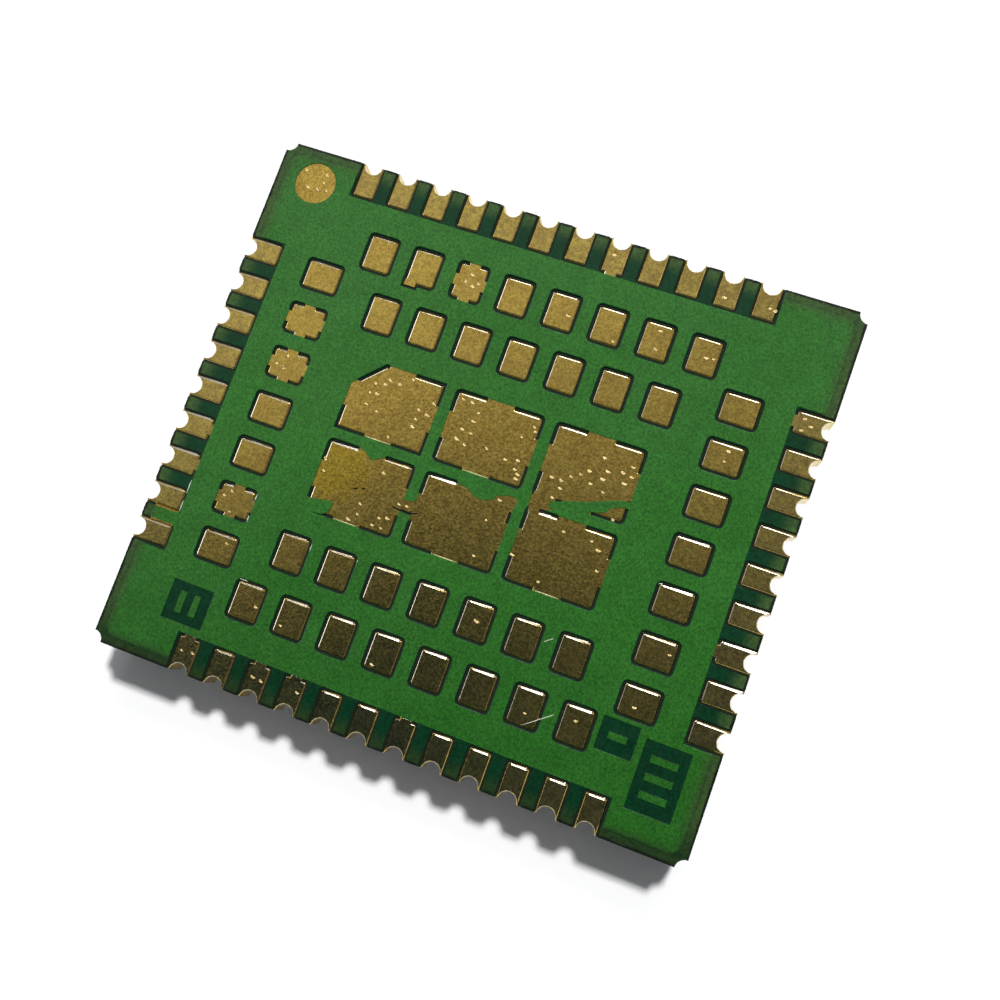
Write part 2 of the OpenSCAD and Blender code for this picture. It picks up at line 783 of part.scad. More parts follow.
module lands_north_outer() {
    color(gold) translate([0, 0, land_face]) north_outer() land(spokes_north_outer, [eared_land]);
}

module lands_north_inner() color(gold) translate([0, 0, land_face]) north_inner() land();
module lands_west() color(gold) translate([0, 0, land_face]) west_column() land(spokes_west);
module lands_south_inner() color(gold) translate([0, 0, land_face]) south_inner() land();
module lands_south_outer() color(gold) translate([0, 0, land_face]) south_outer() land();
module lands_east() color(gold) translate([0, 0, land_face]) east_column() land();

// Section of a folded edge: the sheet runs to -X along the bottom and up along X = 0
module fold_section(t, bend, h) {
    r = bend + t;
    translate([-t, r]) square([t, h - r]);
    translate([-2 * r, 0]) square([r, t]);
    intersection() {
        translate([-r, 0]) square(r);
        translate([-r, r])
            difference() {
                circle(r);
                circle(bend);
            }
    }
}

// Folded side of a pan, with children cut out; the wall's outer face lies on Y = 0, facing +Y
module folded_side(turn, distance, length, t, bend, h) {
    rotate(turn)
        translate([0, distance, 0])
            difference() {
                translate([-length / 2, 0, 0])
                    rotate([90, 0, 90]) linear_extrude(length) fold_section(t, bend, h);
                children();
            }
}

// Spots along a side for n fingers: the middle of finger i
function finger_at(length, n, i) = length * ((i + 0.5) / n - 0.5);

dimple_z = (slit_root + skirt_h) / 2 + 0.02;
dimple_out = lid_t - dimple_r + dimple_h;
catch_r = sqrt(pow(dimple_r, 2) - pow(dimple_r - dimple_h + lid_gap, 2)) + catch_gap;
lid_corner = lid_bend + lid_t + 0.06;
skirt_x = board_l - 2 * can_margin - 2 * lid_corner;
skirt_y = board_w - 2 * can_margin - 2 * lid_corner;
frame_corner = frame_bend + frame_t + 0.1;
wall_x = 2 * frame_x - 2 * frame_corner;
wall_y = 2 * frame_y - 2 * frame_corner;
wall_h = pad_face - lid_t;

// One skirt of the lid: fingers parted by slits, each with a dimple pressed inwards
module lid_side(turn, distance, length, n) {
    folded_side(turn, distance, length, lid_t, lid_bend, skirt_h) {
        for (i = [1:n - 1])
            translate([length * (i / n - 0.5) - slit_w / 2, -lid_t - through, slit_root])
                cube([slit_w, lid_t + 2 * through, skirt_h]);
        for (i = [0:n - 1])
            translate([finger_at(length, n, i), -dimple_out, dimple_z]) sphere(dimple_r - lid_t);
    }
    rotate(turn)
        for (i = [0:n - 1])
            translate([finger_at(length, n, i), distance, dimple_z])
                difference() {
                    translate([0, -dimple_out, 0]) sphere(dimple_r);
                    translate([-dimple_r, -0.8 * lid_t, -dimple_r]) cube(2 * dimple_r);
                }
}

module shield_lid() {
    flat = lid_bend + lid_t;
    color(sheet_grey) {
        translate([can_margin + flat - board_l / 2, can_margin + flat - board_w / 2, 0])
            cube([board_l - 2 * can_margin - 2 * flat, board_w - 2 * can_margin - 2 * flat, lid_t]);
        for (turn = [NORTH, SOUTH]) lid_side(turn, board_w / 2 - can_margin, skirt_x, fingers_x);
        for (turn = [WEST, EAST]) lid_side(turn, board_l / 2 - can_margin, skirt_y, fingers_y);
    }
}

// One wall of the frame, with a catch hole for each dimple and vents at its foot
module frame_side(turn, distance, length, skirt, n) {
    folded_side(turn, distance, length, frame_t, frame_bend, wall_h) {
        for (i = [0:n - 1])
            translate([finger_at(skirt, n, i), through, dimple_z - lid_t])
                rotate([90, 0, 0]) cylinder(r = catch_r, h = frame_t + 2 * through);
        for (i = [1:n - 1])
            translate([skirt * (i / n - 0.5) - vent_w / 2, -frame_t - through, wall_h - vent_h])
                cube([vent_w, frame_t + 2 * through, 2 * vent_h]);
    }
}

module shield_frame() {
    flat = frame_bend + frame_t;
    inner_x = frame_x - flat - flange_w;
    inner_y = frame_y - flat - flange_w;
    color(sheet_grey)
        translate([0, 0, lid_t]) {
            linear_extrude(frame_t)
                difference() {
                    square([2 * (frame_x - flat), 2 * (frame_y - flat)], center = true);
                    for (side = [-1, 1])
                        translate([side * (inner_x + pick_bar_w / 2) / 2, 0])
                            polygon(land_outline(inner_x - pick_bar_w / 2, 2 * inner_y, flange_w / 2));
                }
            for (turn = [NORTH, SOUTH]) frame_side(turn, frame_y, wall_x, skirt_x, fingers_x);
            for (turn = [WEST, EAST]) frame_side(turn, frame_x, wall_y, skirt_y, fingers_y);
        }
}

// Children at the listed places on the component side, with +Z away from the board
module mounted(places) {
    translate([0, 0, pad_face])
        scale(fit)
            for (p = places) translate([p[0], p[1]]) rotate([180, 0, p[2]]) children();
}

// The same places on the board's own plane
module printed(places) {
    scale(fit)
        for (p = places) translate([p[0], p[1]]) rotate(p[2]) children();
}

// Pads along the four edges of a package: counts along X and along Y
module edge_pads(w, l, n_x, n_y, pitch, pad_w, pad_l, grow = 0) {
    for (side = [-1, 1]) {
        if (n_x > 0)
            for (i = [0:n_x - 1])
                translate([(i - (n_x - 1) / 2) * pitch, side * (l - pad_l) / 2])
                    square([pad_w + 2 * grow, pad_l + 2 * grow], center = true);
        if (n_y > 0)
            for (i = [0:n_y - 1])
                translate([side * (w - pad_l) / 2, (i - (n_y - 1) / 2) * pitch])
                    square([pad_l + 2 * grow, pad_w + 2 * grow], center = true);
    }
}

// Square pad under the middle of a package, clear of the pads along its edges
module centre_pad(w, l, pad_l, grow = 0) {
    square([w - 4 * pad_l + 2 * grow, l - 4 * pad_l + 2 * grow], center = true);
}

// Spots of the processor's balls, with an empty ring between the inner and the outer field
module ball_spots() {
    middle = (ball_n - 1) / 2;
    for (i = [0:ball_n - 1], j = [0:ball_n - 1])
        if (abs(max(abs(i - middle), abs(j - middle)) - 2.5) > 0.4)
            translate([(i - middle) * ball_pitch, (j - middle) * ball_pitch]) children();
}

ball_pad_r = sqrt(pow(ball_r, 2) - pow(ball_h / 2, 2));

module processor_pads(grow = 0) ball_spots() circle(ball_pad_r + grow);
module memory_pads(grow = 0) {
    edge_pads(memory_l, memory_w, 4, 0, wide_pitch, wide_pitch / 2, lead_l, grow);
}

module radio_pads(grow = 0) {
    edge_pads(radio_w, radio_w, 7, 7, lead_pitch, lead_pitch / 2, lead_l, grow);
    centre_pad(radio_w, radio_w, lead_l, grow);
}

module manager_pads(grow = 0) {
    edge_pads(manager_w, manager_w, 6, 6, lead_pitch, lead_pitch / 2, lead_l, grow);
    centre_pad(manager_w, manager_w, lead_l, grow);
}

module amplifier_pads(grow = 0) {
    edge_pads(amplifier_l, amplifier_w, 5, 3, wide_pitch, wide_pitch / 2, lead_l, grow);
    centre_pad(amplifier_l, amplifier_w, lead_l, grow);
}

module switch_pads(grow = 0) {
    edge_pads(switch_w, switch_w, 2, 2, switch_w / 4, switch_w / 9, switch_w / 7, grow);
    centre_pad(switch_w, switch_w, switch_w / 7, grow);
}

module duplexer_pads(grow = 0) {
    edge_pads(duplexer_l, duplexer_w, 3, 0, duplexer_l / 3, duplexer_l / 6, duplexer_w / 4, grow);
}

module filter_pads(grow = 0) {
    edge_pads(filter_l, filter_w, 2, 0, filter_l / 2, filter_l / 4, filter_w / 4, grow);
}

module oscillator_pads(grow = 0) {
    pad = oscillator_l / 4;
    edge_pads(oscillator_l, oscillator_w, 2, 0, oscillator_l - 1.4 * pad, pad, oscillator_w / 4, grow);
}

module crystal_pads(grow = 0) {
    edge_pads(crystal_l, crystal_w, 0, 1, crystal_w, crystal_w * 4 / 5, crystal_l / 4, grow);
}

module chip_pads(size, grow = 0) edge_pads(size[0], size[1], 0, 1, size[1], size[1], size[3], grow);

// Every pad of the component side, and the ground ring under the frame
module component_pads(grow = 0) {
    printed([processor_at]) processor_pads(grow);
    printed([memory_at]) memory_pads(grow);
    printed([radio_at]) radio_pads(grow);
    printed([manager_at]) manager_pads(grow);
    printed([amplifier_at]) amplifier_pads(grow);
    printed([switch_at]) switch_pads(grow);
    printed(duplexers_at) duplexer_pads(grow);
    printed(filters_at) filter_pads(grow);
    printed([oscillator_at]) oscillator_pads(grow);
    printed([crystal_at]) crystal_pads(grow);
    printed(inductors_at) chip_pads(inductor, grow);
    printed(bulk_capacitors_at) chip_pads(bulk_capacitor, grow);
    printed(capacitors_at) chip_pads(capacitor, grow);
    printed(small_capacitors_at) chip_pads(small_capacitor, grow);
    printed(resistors_at) chip_pads(resistor, grow);
    ring = (ring_w - frame_t) / 2 + grow;
    difference() {
        square([2 * (frame_x + ring), 2 * (frame_y + ring)], center = true);
        square([2 * (frame_x - frame_t - ring), 2 * (frame_y - frame_t - ring)], center = true);
    }
}

module component_copper() {
    color(gold) translate([0, 0, pad_face]) linear_extrude(copper_t) component_pads();
}

module component_mask() {
    color(mask_green)
        translate([0, 0, pad_face])
            linear_extrude(copper_t)
                difference() {
                    board_outline();
                    component_pads(mask_gap / 2);
                    all_contacts() contact_opening(contact_back_l);
                }
}

// Block of a package, on the component side, from one height over the pads to another
module block(places, l, w, from, to) {
    mounted(places) translate([-l / 2, -w / 2, from]) cube([l, w, to - from]);
}

// Metal lid on top of a ceramic package, set back from its edges
module package_lid(places, size) {
    block(places, size[0] - lid_step, size[1] - lid_step, size[2] - cap_lid_t, size[2]);
}

module processor_balls() {
    color(solder_grey)
        mounted([processor_at])
            ball_spots()
                rotate_extrude()
                    intersection() {
                        translate([0, ball_h / 2]) circle(ball_r);
                        square([2 * ball_r, ball_h]);
                    }
}

module processor_substrate() {
    color(mask_green) block([processor_at], processor_w, processor_w, ball_h, ball_h + substrate_t);
}

module processor_mould() {
    color(mould_black)
        block([processor_at], processor_w, processor_w, ball_h + substrate_t, ball_h + processor_h);
}

module memory_leads() color(solder_grey) mounted([memory_at]) linear_extrude(lead_t) memory_pads();
module memory_body() color(mould_black) block([memory_at], memory_l, memory_w, lead_t, package_h);
module radio_leads() color(solder_grey) mounted([radio_at]) linear_extrude(lead_t) radio_pads();
module radio_body() color(mould_black) block([radio_at], radio_w, radio_w, lead_t, package_h);
module manager_leads() color(solder_grey) mounted([manager_at]) linear_extrude(lead_t) manager_pads();
module manager_body() color(mould_black) block([manager_at], manager_w, manager_w, lead_t, package_h);
module amplifier_lands() color(gold) mounted([amplifier_at]) linear_extrude(lead_t) amplifier_pads();
module amplifier_substrate() {
    color(mask_green) block([amplifier_at], amplifier_l, amplifier_w, lead_t, lead_t + substrate_t);
}

module amplifier_mould() {
    color(mould_black)
        block([amplifier_at], amplifier_l, amplifier_w, lead_t + substrate_t, substrate_t + package_h);
}

module switch_lands() color(gold) mounted([switch_at]) linear_extrude(lead_t) switch_pads();
module switch_body() color(mould_black) block([switch_at], switch_w, switch_w, lead_t, package_h);
module duplexer_lands() color(gold) mounted(duplexers_at) linear_extrude(lead_t) duplexer_pads();
module duplexer_bases() {
    color(ceramic_white) block(duplexers_at, duplexer[0], duplexer[1], lead_t, duplexer[2] - cap_lid_t);
}

module duplexer_lids() {
    color(gold) package_lid(duplexers_at, duplexer);
}

module filter_lands() color(gold) mounted(filters_at) linear_extrude(lead_t) filter_pads();
module filter_bodies() color(ceramic_white) block(filters_at, filter[0], filter[1], lead_t, filter[2]);
module oscillator_lands() color(gold) mounted([oscillator_at]) linear_extrude(lead_t) oscillator_pads();
module oscillator_base() {
    color(ceramic_tan)
        block([oscillator_at], oscillator[0], oscillator[1], lead_t, oscillator[2] - cap_lid_t);
}

module oscillator_lid() {
    color(sheet_grey) package_lid([oscillator_at], oscillator);
}

module crystal_lands() color(gold) mounted([crystal_at]) linear_extrude(lead_t) crystal_pads();
module crystal_base() {
    color(ceramic_tan) block([crystal_at], crystal[0], crystal[1], lead_t, crystal[2] - cap_lid_t);
}

module crystal_lid() {
    color(sheet_grey) package_lid([crystal_at], crystal);
}

// Body of a two-terminal chip, inside its end caps
module chip_core(size) {
    translate([terminal_t - size[0] / 2, terminal_t - size[1] / 2, terminal_t])
        cube([size[0] - 2 * terminal_t, size[1] - 2 * terminal_t, size[2] - 2 * terminal_t]);
}

// End caps of a two-terminal chip
module chip_caps(size) {
    difference() {
        for (side = [-1, 1])
            translate([side * (size[0] - size[3]) / 2 - size[3] / 2, -size[1] / 2, 0])
                cube([size[3], size[1], size[2]]);
        chip_core(size);
    }
}

module inductor_bodies() color(mould_black) mounted(inductors_at) chip_core(inductor);
module inductor_terminals() color(solder_grey) mounted(inductors_at) chip_caps(inductor);
module bulk_capacitor_bodies() color(ceramic_tan) mounted(bulk_capacitors_at) chip_core(bulk_capacitor);
module bulk_capacitor_terminals() color(solder_grey) mounted(bulk_capacitors_at) chip_caps(bulk_capacitor);
module capacitor_bodies() color(ceramic_tan) mounted(capacitors_at) chip_core(capacitor);
module capacitor_terminals() color(solder_grey) mounted(capacitors_at) chip_caps(capacitor);
module small_capacitor_bodies() color(ceramic_tan) mounted(small_capacitors_at) chip_core(small_capacitor);
module small_capacitor_terminals() {
    color(solder_grey) mounted(small_capacitors_at) chip_caps(small_capacitor);
}

module resistor_bodies() color(mould_black) mounted(resistors_at) chip_core(resistor);
module resistor_terminals() color(solder_grey) mounted(resistors_at) chip_caps(resistor);

laminate();
ground_plane();
window_bars();
land_mask();
contacts_north();
contacts_west();
contacts_south();
contacts_east();
lands_north_outer();
lands_north_inner();
lands_west();
lands_south_inner();
lands_south_outer();
lands_east();
component_copper();
component_mask();
shield_frame();
shield_lid();
processor_balls();
processor_substrate();
processor_mould();
memory_leads();
memory_body();
radio_leads();
radio_body();
manager_leads();
manager_body();
amplifier_lands();
amplifier_substrate();
amplifier_mould();
switch_lands();
switch_body();
duplexer_lands();
duplexer_bases();
duplexer_lids();
filter_lands();
filter_bodies();
oscillator_lands();
oscillator_base();
oscillator_lid();
crystal_lands();
crystal_base();
crystal_lid();
inductor_bodies();
inductor_terminals();
bulk_capacitor_bodies();
bulk_capacitor_terminals();
capacitor_bodies();
capacitor_terminals();
small_capacitor_bodies();
small_capacitor_terminals();
resistor_bodies();
resistor_terminals();
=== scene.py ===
"""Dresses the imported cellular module, which lies on its shield lid with the solder lands up.

Sizes are in millimetres unless a name says otherwise. They become metres where a mesh, a lamp or
the camera is made.
"""

from __future__ import annotations

import json
import logging
import math
import random
from dataclasses import dataclass
from enum import Enum
from typing import ClassVar, Optional, Sequence, Union

import bmesh
import bpy
from mathutils import Euler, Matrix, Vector

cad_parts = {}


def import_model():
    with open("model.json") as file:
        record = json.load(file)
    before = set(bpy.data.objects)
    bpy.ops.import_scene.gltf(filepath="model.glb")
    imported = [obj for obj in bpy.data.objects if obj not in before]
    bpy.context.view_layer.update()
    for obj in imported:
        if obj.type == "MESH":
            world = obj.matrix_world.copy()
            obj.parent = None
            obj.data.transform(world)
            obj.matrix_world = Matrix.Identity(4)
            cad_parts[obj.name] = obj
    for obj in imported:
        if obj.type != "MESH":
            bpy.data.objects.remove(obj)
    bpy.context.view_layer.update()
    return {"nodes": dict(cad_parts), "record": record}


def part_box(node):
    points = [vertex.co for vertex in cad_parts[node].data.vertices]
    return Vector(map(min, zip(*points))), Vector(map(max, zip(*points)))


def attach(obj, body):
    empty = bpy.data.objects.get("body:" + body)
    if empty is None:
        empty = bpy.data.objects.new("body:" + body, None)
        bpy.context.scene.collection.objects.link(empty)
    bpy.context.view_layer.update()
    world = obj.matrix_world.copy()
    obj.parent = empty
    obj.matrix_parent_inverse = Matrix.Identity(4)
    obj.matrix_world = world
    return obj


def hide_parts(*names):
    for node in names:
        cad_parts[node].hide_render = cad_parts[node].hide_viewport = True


LOG = logging.getLogger("module_scene")
MM = 0.001
Socket = bpy.types.NodeSocket
Value = Union[float, Socket]
Tone = tuple[float, float, float]
Rows = Sequence[tuple[float, ...]]

# Half the board's length and width, and the height of the lands' outer face
HALF_L, HALF_W, LAND_TOP = 8.8, 7.85, 2.28
# In metres: how near corners are joined, and how near a corner a cut goes through it
MERGE, CUT = 2e-7, 1e-7


def tone(red: int, green: int, blue: int) -> Tone:
    """Turns a colour as a screen shows it into the linear one that shaders take.

    Args:
        red: Red, 0 to 255.
        green: Green, 0 to 255.
        blue: Blue, 0 to 255.

    Returns:
        The linear colour.
    """
    parts = [c / 255 for c in (red, green, blue)]
    r, g, b = [c / 12.92 if c <= 0.04045 else ((c + 0.055) / 1.055) ** 2.4 for c in parts]
    return r, g, b


class Grain(Enum):
    """Direction of the fine lines that rolling leaves on a sheet, as a stretch for each axis."""

    ALONG_X = (0.12, 1.0, 1.0)
    ALONG_Y = (1.0, 0.12, 1.0)
    EVEN = (1.0, 1.0, 1.0)


class Nodes:
    """Adds nodes to one node tree and joins them."""

    def __init__(self, tree: bpy.types.NodeTree) -> None:
        """Keeps the tree that the nodes go to."""
        self.tree = tree

    def join(self, value: Union[Value, Tone], socket: Socket) -> None:
        """Sets a constant on a socket, or links another socket to it.

        Args:
            value: Constant or socket.
            socket: Input to fill.
        """
        if isinstance(value, bpy.types.NodeSocket):
            self.tree.links.new(value, socket)
        elif isinstance(value, tuple):
            socket.default_value = (*value, 1.0) if socket.type == "RGBA" else value
        else:
            socket.default_value = value

    def split(self, vector: Socket) -> bpy.types.NodeOutputs:
        """Returns the components of a vector, as X, Y and Z."""
        node = self.tree.nodes.new("ShaderNodeSeparateXYZ")
        self.tree.links.new(vector, node.inputs[0])
        return node.outputs

    def vector(
        self, operation: str, first: Socket, second: Tone = (0.0, 0.0, 0.0), scale: float = 1.0
    ) -> Socket:
        """Adds a vector calculation.

        Args:
            operation: Blender's name of the operation.
            first: Vector to work on.
            second: Constant second vector, where the operation has one.
            scale: Factor of a SCALE operation.

        Returns:
            The resulting vector, or the number that a DOT_PRODUCT gives.
        """
        node = self.tree.nodes.new("ShaderNodeVectorMath")
        node.operation = operation
        self.tree.links.new(first, node.inputs[0])
        if operation == "SCALE":
            node.inputs["Scale"].default_value = scale
        else:
            node.inputs[1].default_value = second
        return node.outputs["Value" if operation == "DOT_PRODUCT" else "Vector"]

    def math(
        self, operation: str, first: Value, second: Value = 0.0, third: Value = 0.0, clamp: bool = False
    ) -> Socket:
        """Adds a calculation with numbers.

        Args:
            operation: Blender's name of the operation.
            first: First number.
            second: Second number.
            third: Third number, where the operation has one.
            clamp: Whether the result is kept between 0 and 1.

        Returns:
            The result.
        """
        node = self.tree.nodes.new("ShaderNodeMath")
        node.operation = operation
        node.use_clamp = clamp
        for number, socket in zip((first, second, third), node.inputs):
            self.join(number, socket)
        return node.outputs[0]

    def ramp(
        self,
        value: Socket,
        low: float,
        high: float,
        start: float = 0.0,
        end: float = 1.0,
        smooth: bool = False,
    ) -> Socket:
        """Maps a number from one range to another, and keeps it there.

        Args:
            value: Number to map.
            low: Value that gives start.
            high: Value that gives end.
            start: Result at low and beyond.
            end: Result at high and beyond.
            smooth: Whether the ends are eased.

        Returns:
            The mapped number.
        """
        node = self.tree.nodes.new("ShaderNodeMapRange")
        node.interpolation_type = "SMOOTHSTEP" if smooth else "LINEAR"
        self.tree.links.new(value, node.inputs["Value"])
        ranges = {"From Min": low, "From Max": high, "To Min": start, "To Max": end}
        for name, number in ranges.items():
            node.inputs[name].default_value = number
        return node.outputs["Result"]

    def mix(
        self, share: Value, first: Union[Tone, Socket], second: Union[Tone, Socket], blend: str = "MIX"
    ) -> Socket:
        """Mixes two colours.

        Args:
            share: Share of the second colour.
            first: First colour.
            second: Second colour.
            blend: Blender's name of the way of mixing.

        Returns:
            The mixed colour.
        """
        node = self.tree.nodes.new("ShaderNodeMix")
        node.data_type = "RGBA"
        node.blend_type = blend
        self.join(share, node.inputs["Factor"])
        colours = [s for s in node.inputs if s.type == "RGBA"]
        self.join(first, colours[0])
        self.join(second, colours[1])
        return next(s for s in node.outputs if s.type == "RGBA")


class Bench(Nodes):
    """Lays out the nodes of one material and joins them to its surface shader."""

    def __init__(self, name: str) -> None:
        """Starts an empty material with a Principled shader.

        Args:
            name: Name of the material.
        """
        self.material = bpy.data.materials.new(name)
        self.material.use_nodes = True
        super().__init__(self.material.node_tree)
        self.tree.nodes.clear()
        output = self.tree.nodes.new("ShaderNodeOutputMaterial")
        self.shader = self.tree.nodes.new("ShaderNodeBsdfPrincipled")
        self.tree.links.new(self.shader.outputs["BSDF"], output.inputs["Surface"])
        coordinates = self.tree.nodes.new("ShaderNodeTexCoord")
        self.place = self.vector("SCALE", coordinates.outputs["Object"], scale=1 / MM)

    def set(self, **sockets: Union[Value, Tone]) -> None:
        """Fills inputs of the surface shader.

        Args:
            sockets: Input names, with _ for a space, and their values.
        """
        for name, value in sockets.items():
            self.join(value, self.shader.inputs[name.replace("_", " ")])

    def stretched(self, by: Tone) -> Socket:
        """Returns the place on the object, in millimetres, stretched by a factor for each axis."""
        return self.vector("MULTIPLY", self.place, by)

    def axis(self, name: str) -> Socket:
        """Returns one coordinate of the place on the object, in millimetres."""
        return self.split(self.place)[name]

    def facing(self, name: str) -> Socket:
        """Returns one component of the surface's own normal."""
        return self.split(self.tree.nodes.new("ShaderNodeNewGeometry").outputs["Normal"])[name]

    def step(self, value: Socket, low: float, high: float, start: float = 0.0, end: float = 1.0) -> Socket:
        """Returns a number mapped from one range to another with eased ends."""
        return self.ramp(value, low, high, start, end, smooth=True)

    def noise(
        self, scale: float, detail: float = 2.0, stretch: Tone = Grain.EVEN.value, rough: float = 0.5
    ) -> Socket:
        """Adds noise in object space.

        Args:
            scale: Spots per millimetre.
            detail: Octaves.
            stretch: Factor for each axis.
            rough: Share of the finer octaves.

        Returns:
            The noise, about 0.5 on average.
        """
        node = self.tree.nodes.new("ShaderNodeTexNoise")
        node.inputs["Scale"].default_value = scale
        node.inputs["Detail"].default_value = detail
        node.inputs["Roughness"].default_value = rough
        self.tree.links.new(self.stretched(stretch), node.inputs["Vector"])
        return node.outputs["Fac"]

    def cells(self, scale: float) -> tuple[Socket, Socket]:
        """Adds scattered cells in object space.

        Args:
            scale: Cells per millimetre.

        Returns:
            The distance from the nearest cell's point, and that cell's own random colour.
        """
        node = self.tree.nodes.new("ShaderNodeTexVoronoi")
        node.inputs["Scale"].default_value = scale
        self.tree.links.new(self.place, node.inputs["Vector"])
        return node.outputs["Distance"], node.outputs["Color"]

    def spot(self, x: float, y: float, radius: float) -> Socket:
        """Marks a ragged round spot on the upper face.

        Args:
            x: Centre along X in millimetres.
            y: Centre along Y in millimetres.
            radius: Radius in millimetres.

        Returns:
            1 in the spot and 0 outside it.
        """
        wide = self.math("POWER", self.math("SUBTRACT", self.axis("X"), x), 2.0)
        high = self.math("POWER", self.math("SUBTRACT", self.axis("Y"), y), 2.0)
        away = self.math("SQRT", self.math("ADD", wide, high))
        ragged = self.math("MULTIPLY_ADD", self.noise(5.0, 3.0), radius, -0.5 * radius)
        return self.step(self.math("ADD", away, ragged), 0.45 * radius, radius, 1.0, 0.0)

    def stroke(self, x: float, y: float, length: float, turn: float, width: float) -> Socket:
        """Marks a straight stroke on the upper face.

        Args:
            x: Middle along X in millimetres.
            y: Middle along Y in millimetres.
            length: Length in millimetres.
            turn: Direction in degrees from X.
            width: Width in millimetres.

        Returns:
            1 in the stroke and 0 outside it.
        """
        cosine, sine = math.cos(math.radians(turn)), math.sin(math.radians(turn))
        from_x = self.math("SUBTRACT", self.axis("X"), x)
        from_y = self.math("SUBTRACT", self.axis("Y"), y)
        along = self.math("MULTIPLY_ADD", from_x, cosine, self.math("MULTIPLY", from_y, sine))
        across = self.math("MULTIPLY_ADD", from_x, -sine, self.math("MULTIPLY", from_y, cosine))
        thin = self.step(self.math("ABSOLUTE", across), 0.3 * width, 0.6 * width, 1.0, 0.0)
        short = self.step(self.math("ABSOLUTE", along), 0.35 * length, 0.5 * length, 1.0, 0.0)
        return self.math("MULTIPLY", thin, short)

    def bump(
        self, height: Socket, depth: float, strength: float = 1.0, under: Optional[Socket] = None
    ) -> Socket:
        """Adds a bump.

        Args:
            height: Height, 0 to 1.
            depth: Height in millimetres that 1 stands for.
            strength: Share of the bump that shows.
            under: Normal that the bump is added to.

        Returns:
            The bumped normal.
        """
        node = self.tree.nodes.new("ShaderNodeBump")
        node.inputs["Strength"].default_value = strength
        node.inputs["Distance"].default_value = depth * MM
        self.tree.links.new(height, node.inputs["Height"])
        if under is not None:
            self.tree.links.new(under, node.inputs["Normal"])
        return node.outputs["Normal"]


@dataclass(frozen=True)
class Finish:
    """Look of one material."""

    name: str

    def make(self) -> bpy.types.Material:
        """Builds the material.

        Returns:
            The material.
        """
        bench = Bench(self.name)
        self.lay(bench)
        return bench.material

    def lay(self, b: Bench) -> None:
        """Lays out the nodes of the look."""
        raise NotImplementedError


@dataclass(frozen=True)
class MaskFinish(Finish):
    """Solder mask: light over copper, dark over bare laminate, olive along the board's edges.

    Drift is the share of the far tone, at the middle and for each millimetre along X and Y. The
    strips lie along the board's edges and are given by the distances where they begin and are full.
    """

    over_copper: Tone
    over_copper_far: Tone
    over_laminate: Tone
    rim: Tone
    step_low: float
    step_high: float
    rim_south: Tone
    scratches: Rows = ()
    scratched: Tone = tone(172, 190, 158)
    # Painted shade: a near-black line along the board's very edges, standing for their shaded edge.
    painted_edge_shade: Tone = (0.008, 0.011, 0.006)
    roughness: float = 0.32
    drift: Tone = (0.05, 0.022, -0.03)
    # Painted shade: the mask darkens from the middle towards the south edge, down to 0.82.
    south_painted_shade: tuple[float, ...] = (-8.0, 0.0, 0.82, 1.0)
    south_end: tuple[float, float] = (-7.6, -6.4)
    rim_strip: tuple[float, float] = (0.6, 0.1)
    # Where the painted shade line along the very edges begins and is full.
    painted_edge_shade_strip: tuple[float, float] = (0.09, 0.045)
    waver: float = 0.12

    def lay(self, b: Bench) -> None:
        """Lays out the nodes of the look."""
        y = b.axis("Y")
        middle, along_x, along_y = self.drift
        drift = b.math("MULTIPLY_ADD", b.axis("X"), along_x, middle)
        drift = b.math("ADD", drift, b.math("MULTIPLY", y, along_y))
        drift = b.math("ADD", drift, b.noise(0.35, 2.0), clamp=True)
        copper = b.mix(drift, self.over_copper, self.over_copper_far)
        blotch = b.step(b.noise(1.6, 3.0), 0.3, 0.7, 0.93, 1.07)
        speckle = b.step(b.noise(16.0, 4.0, (1.0, 0.8, 1.0), 0.75), 0.3, 0.7, 0.58, 1.42)
        # Blotch and speckle are the mask's own mottle; the ramp along Y is painted shade towards the south.
        shade = b.math("MULTIPLY", b.math("MULTIPLY", blotch, speckle), b.step(y, *self.south_painted_shade))
        high = b.step(b.axis("Z"), self.step_low, self.step_high)
        colour = b.mix(high, self.over_laminate, copper)
        rim = b.mix(b.step(y, *self.south_end), self.rim_south, self.rim)
        waver = b.math("MULTIPLY", b.math("SUBTRACT", b.noise(2.2, 2.0), 0.5), self.waver)
        colour = b.mix(self._strip(b, waver, *self.rim_strip), colour, rim)
        # Painted shade: the near-black line along the board's very edges.
        colour = b.mix(self._strip(b, waver, *self.painted_edge_shade_strip), colour, self.painted_edge_shade)
        colour = b.mix(1.0, colour, shade, "MULTIPLY")
        for scratch in self.scratches:
            colour = b.mix(b.stroke(*scratch), colour, self.scratched)
        peel = b.bump(b.noise(3.5, 2.0), 0.006, 0.6)
        b.set(
            Base_Color=colour,
            Roughness=b.step(b.noise(5.0, 3.0), 0.25, 0.75, self.roughness - 0.08, self.roughness + 0.1),
            IOR=1.5,
            Specular_IOR_Level=0.38,
            Normal=b.bump(b.noise(30.0, 2.0), 0.0012, 0.5, peel),
        )

    @staticmethod
    def _strip(b: Bench, waver: Socket, start: float, full: float) -> Socket:
        """Marks a strip along the board's edges.

        Args:
            b: Bench of the material.
            waver: How far the border of the strip strays, in millimetres.
            start: Distance from the edge where the strip begins.
            full: Distance from the edge where it is full.

        Returns:
            1 in the strip and 0 inside it.
        """
        sides = []
        for name, half in (("X", HALF_L), ("Y", HALF_W)):
            out = b.math("ADD", b.math("ABSOLUTE", b.axis(name)), waver)
            sides.append(b.step(out, half - start, half - full))
        return b.math("MAXIMUM", *sides)


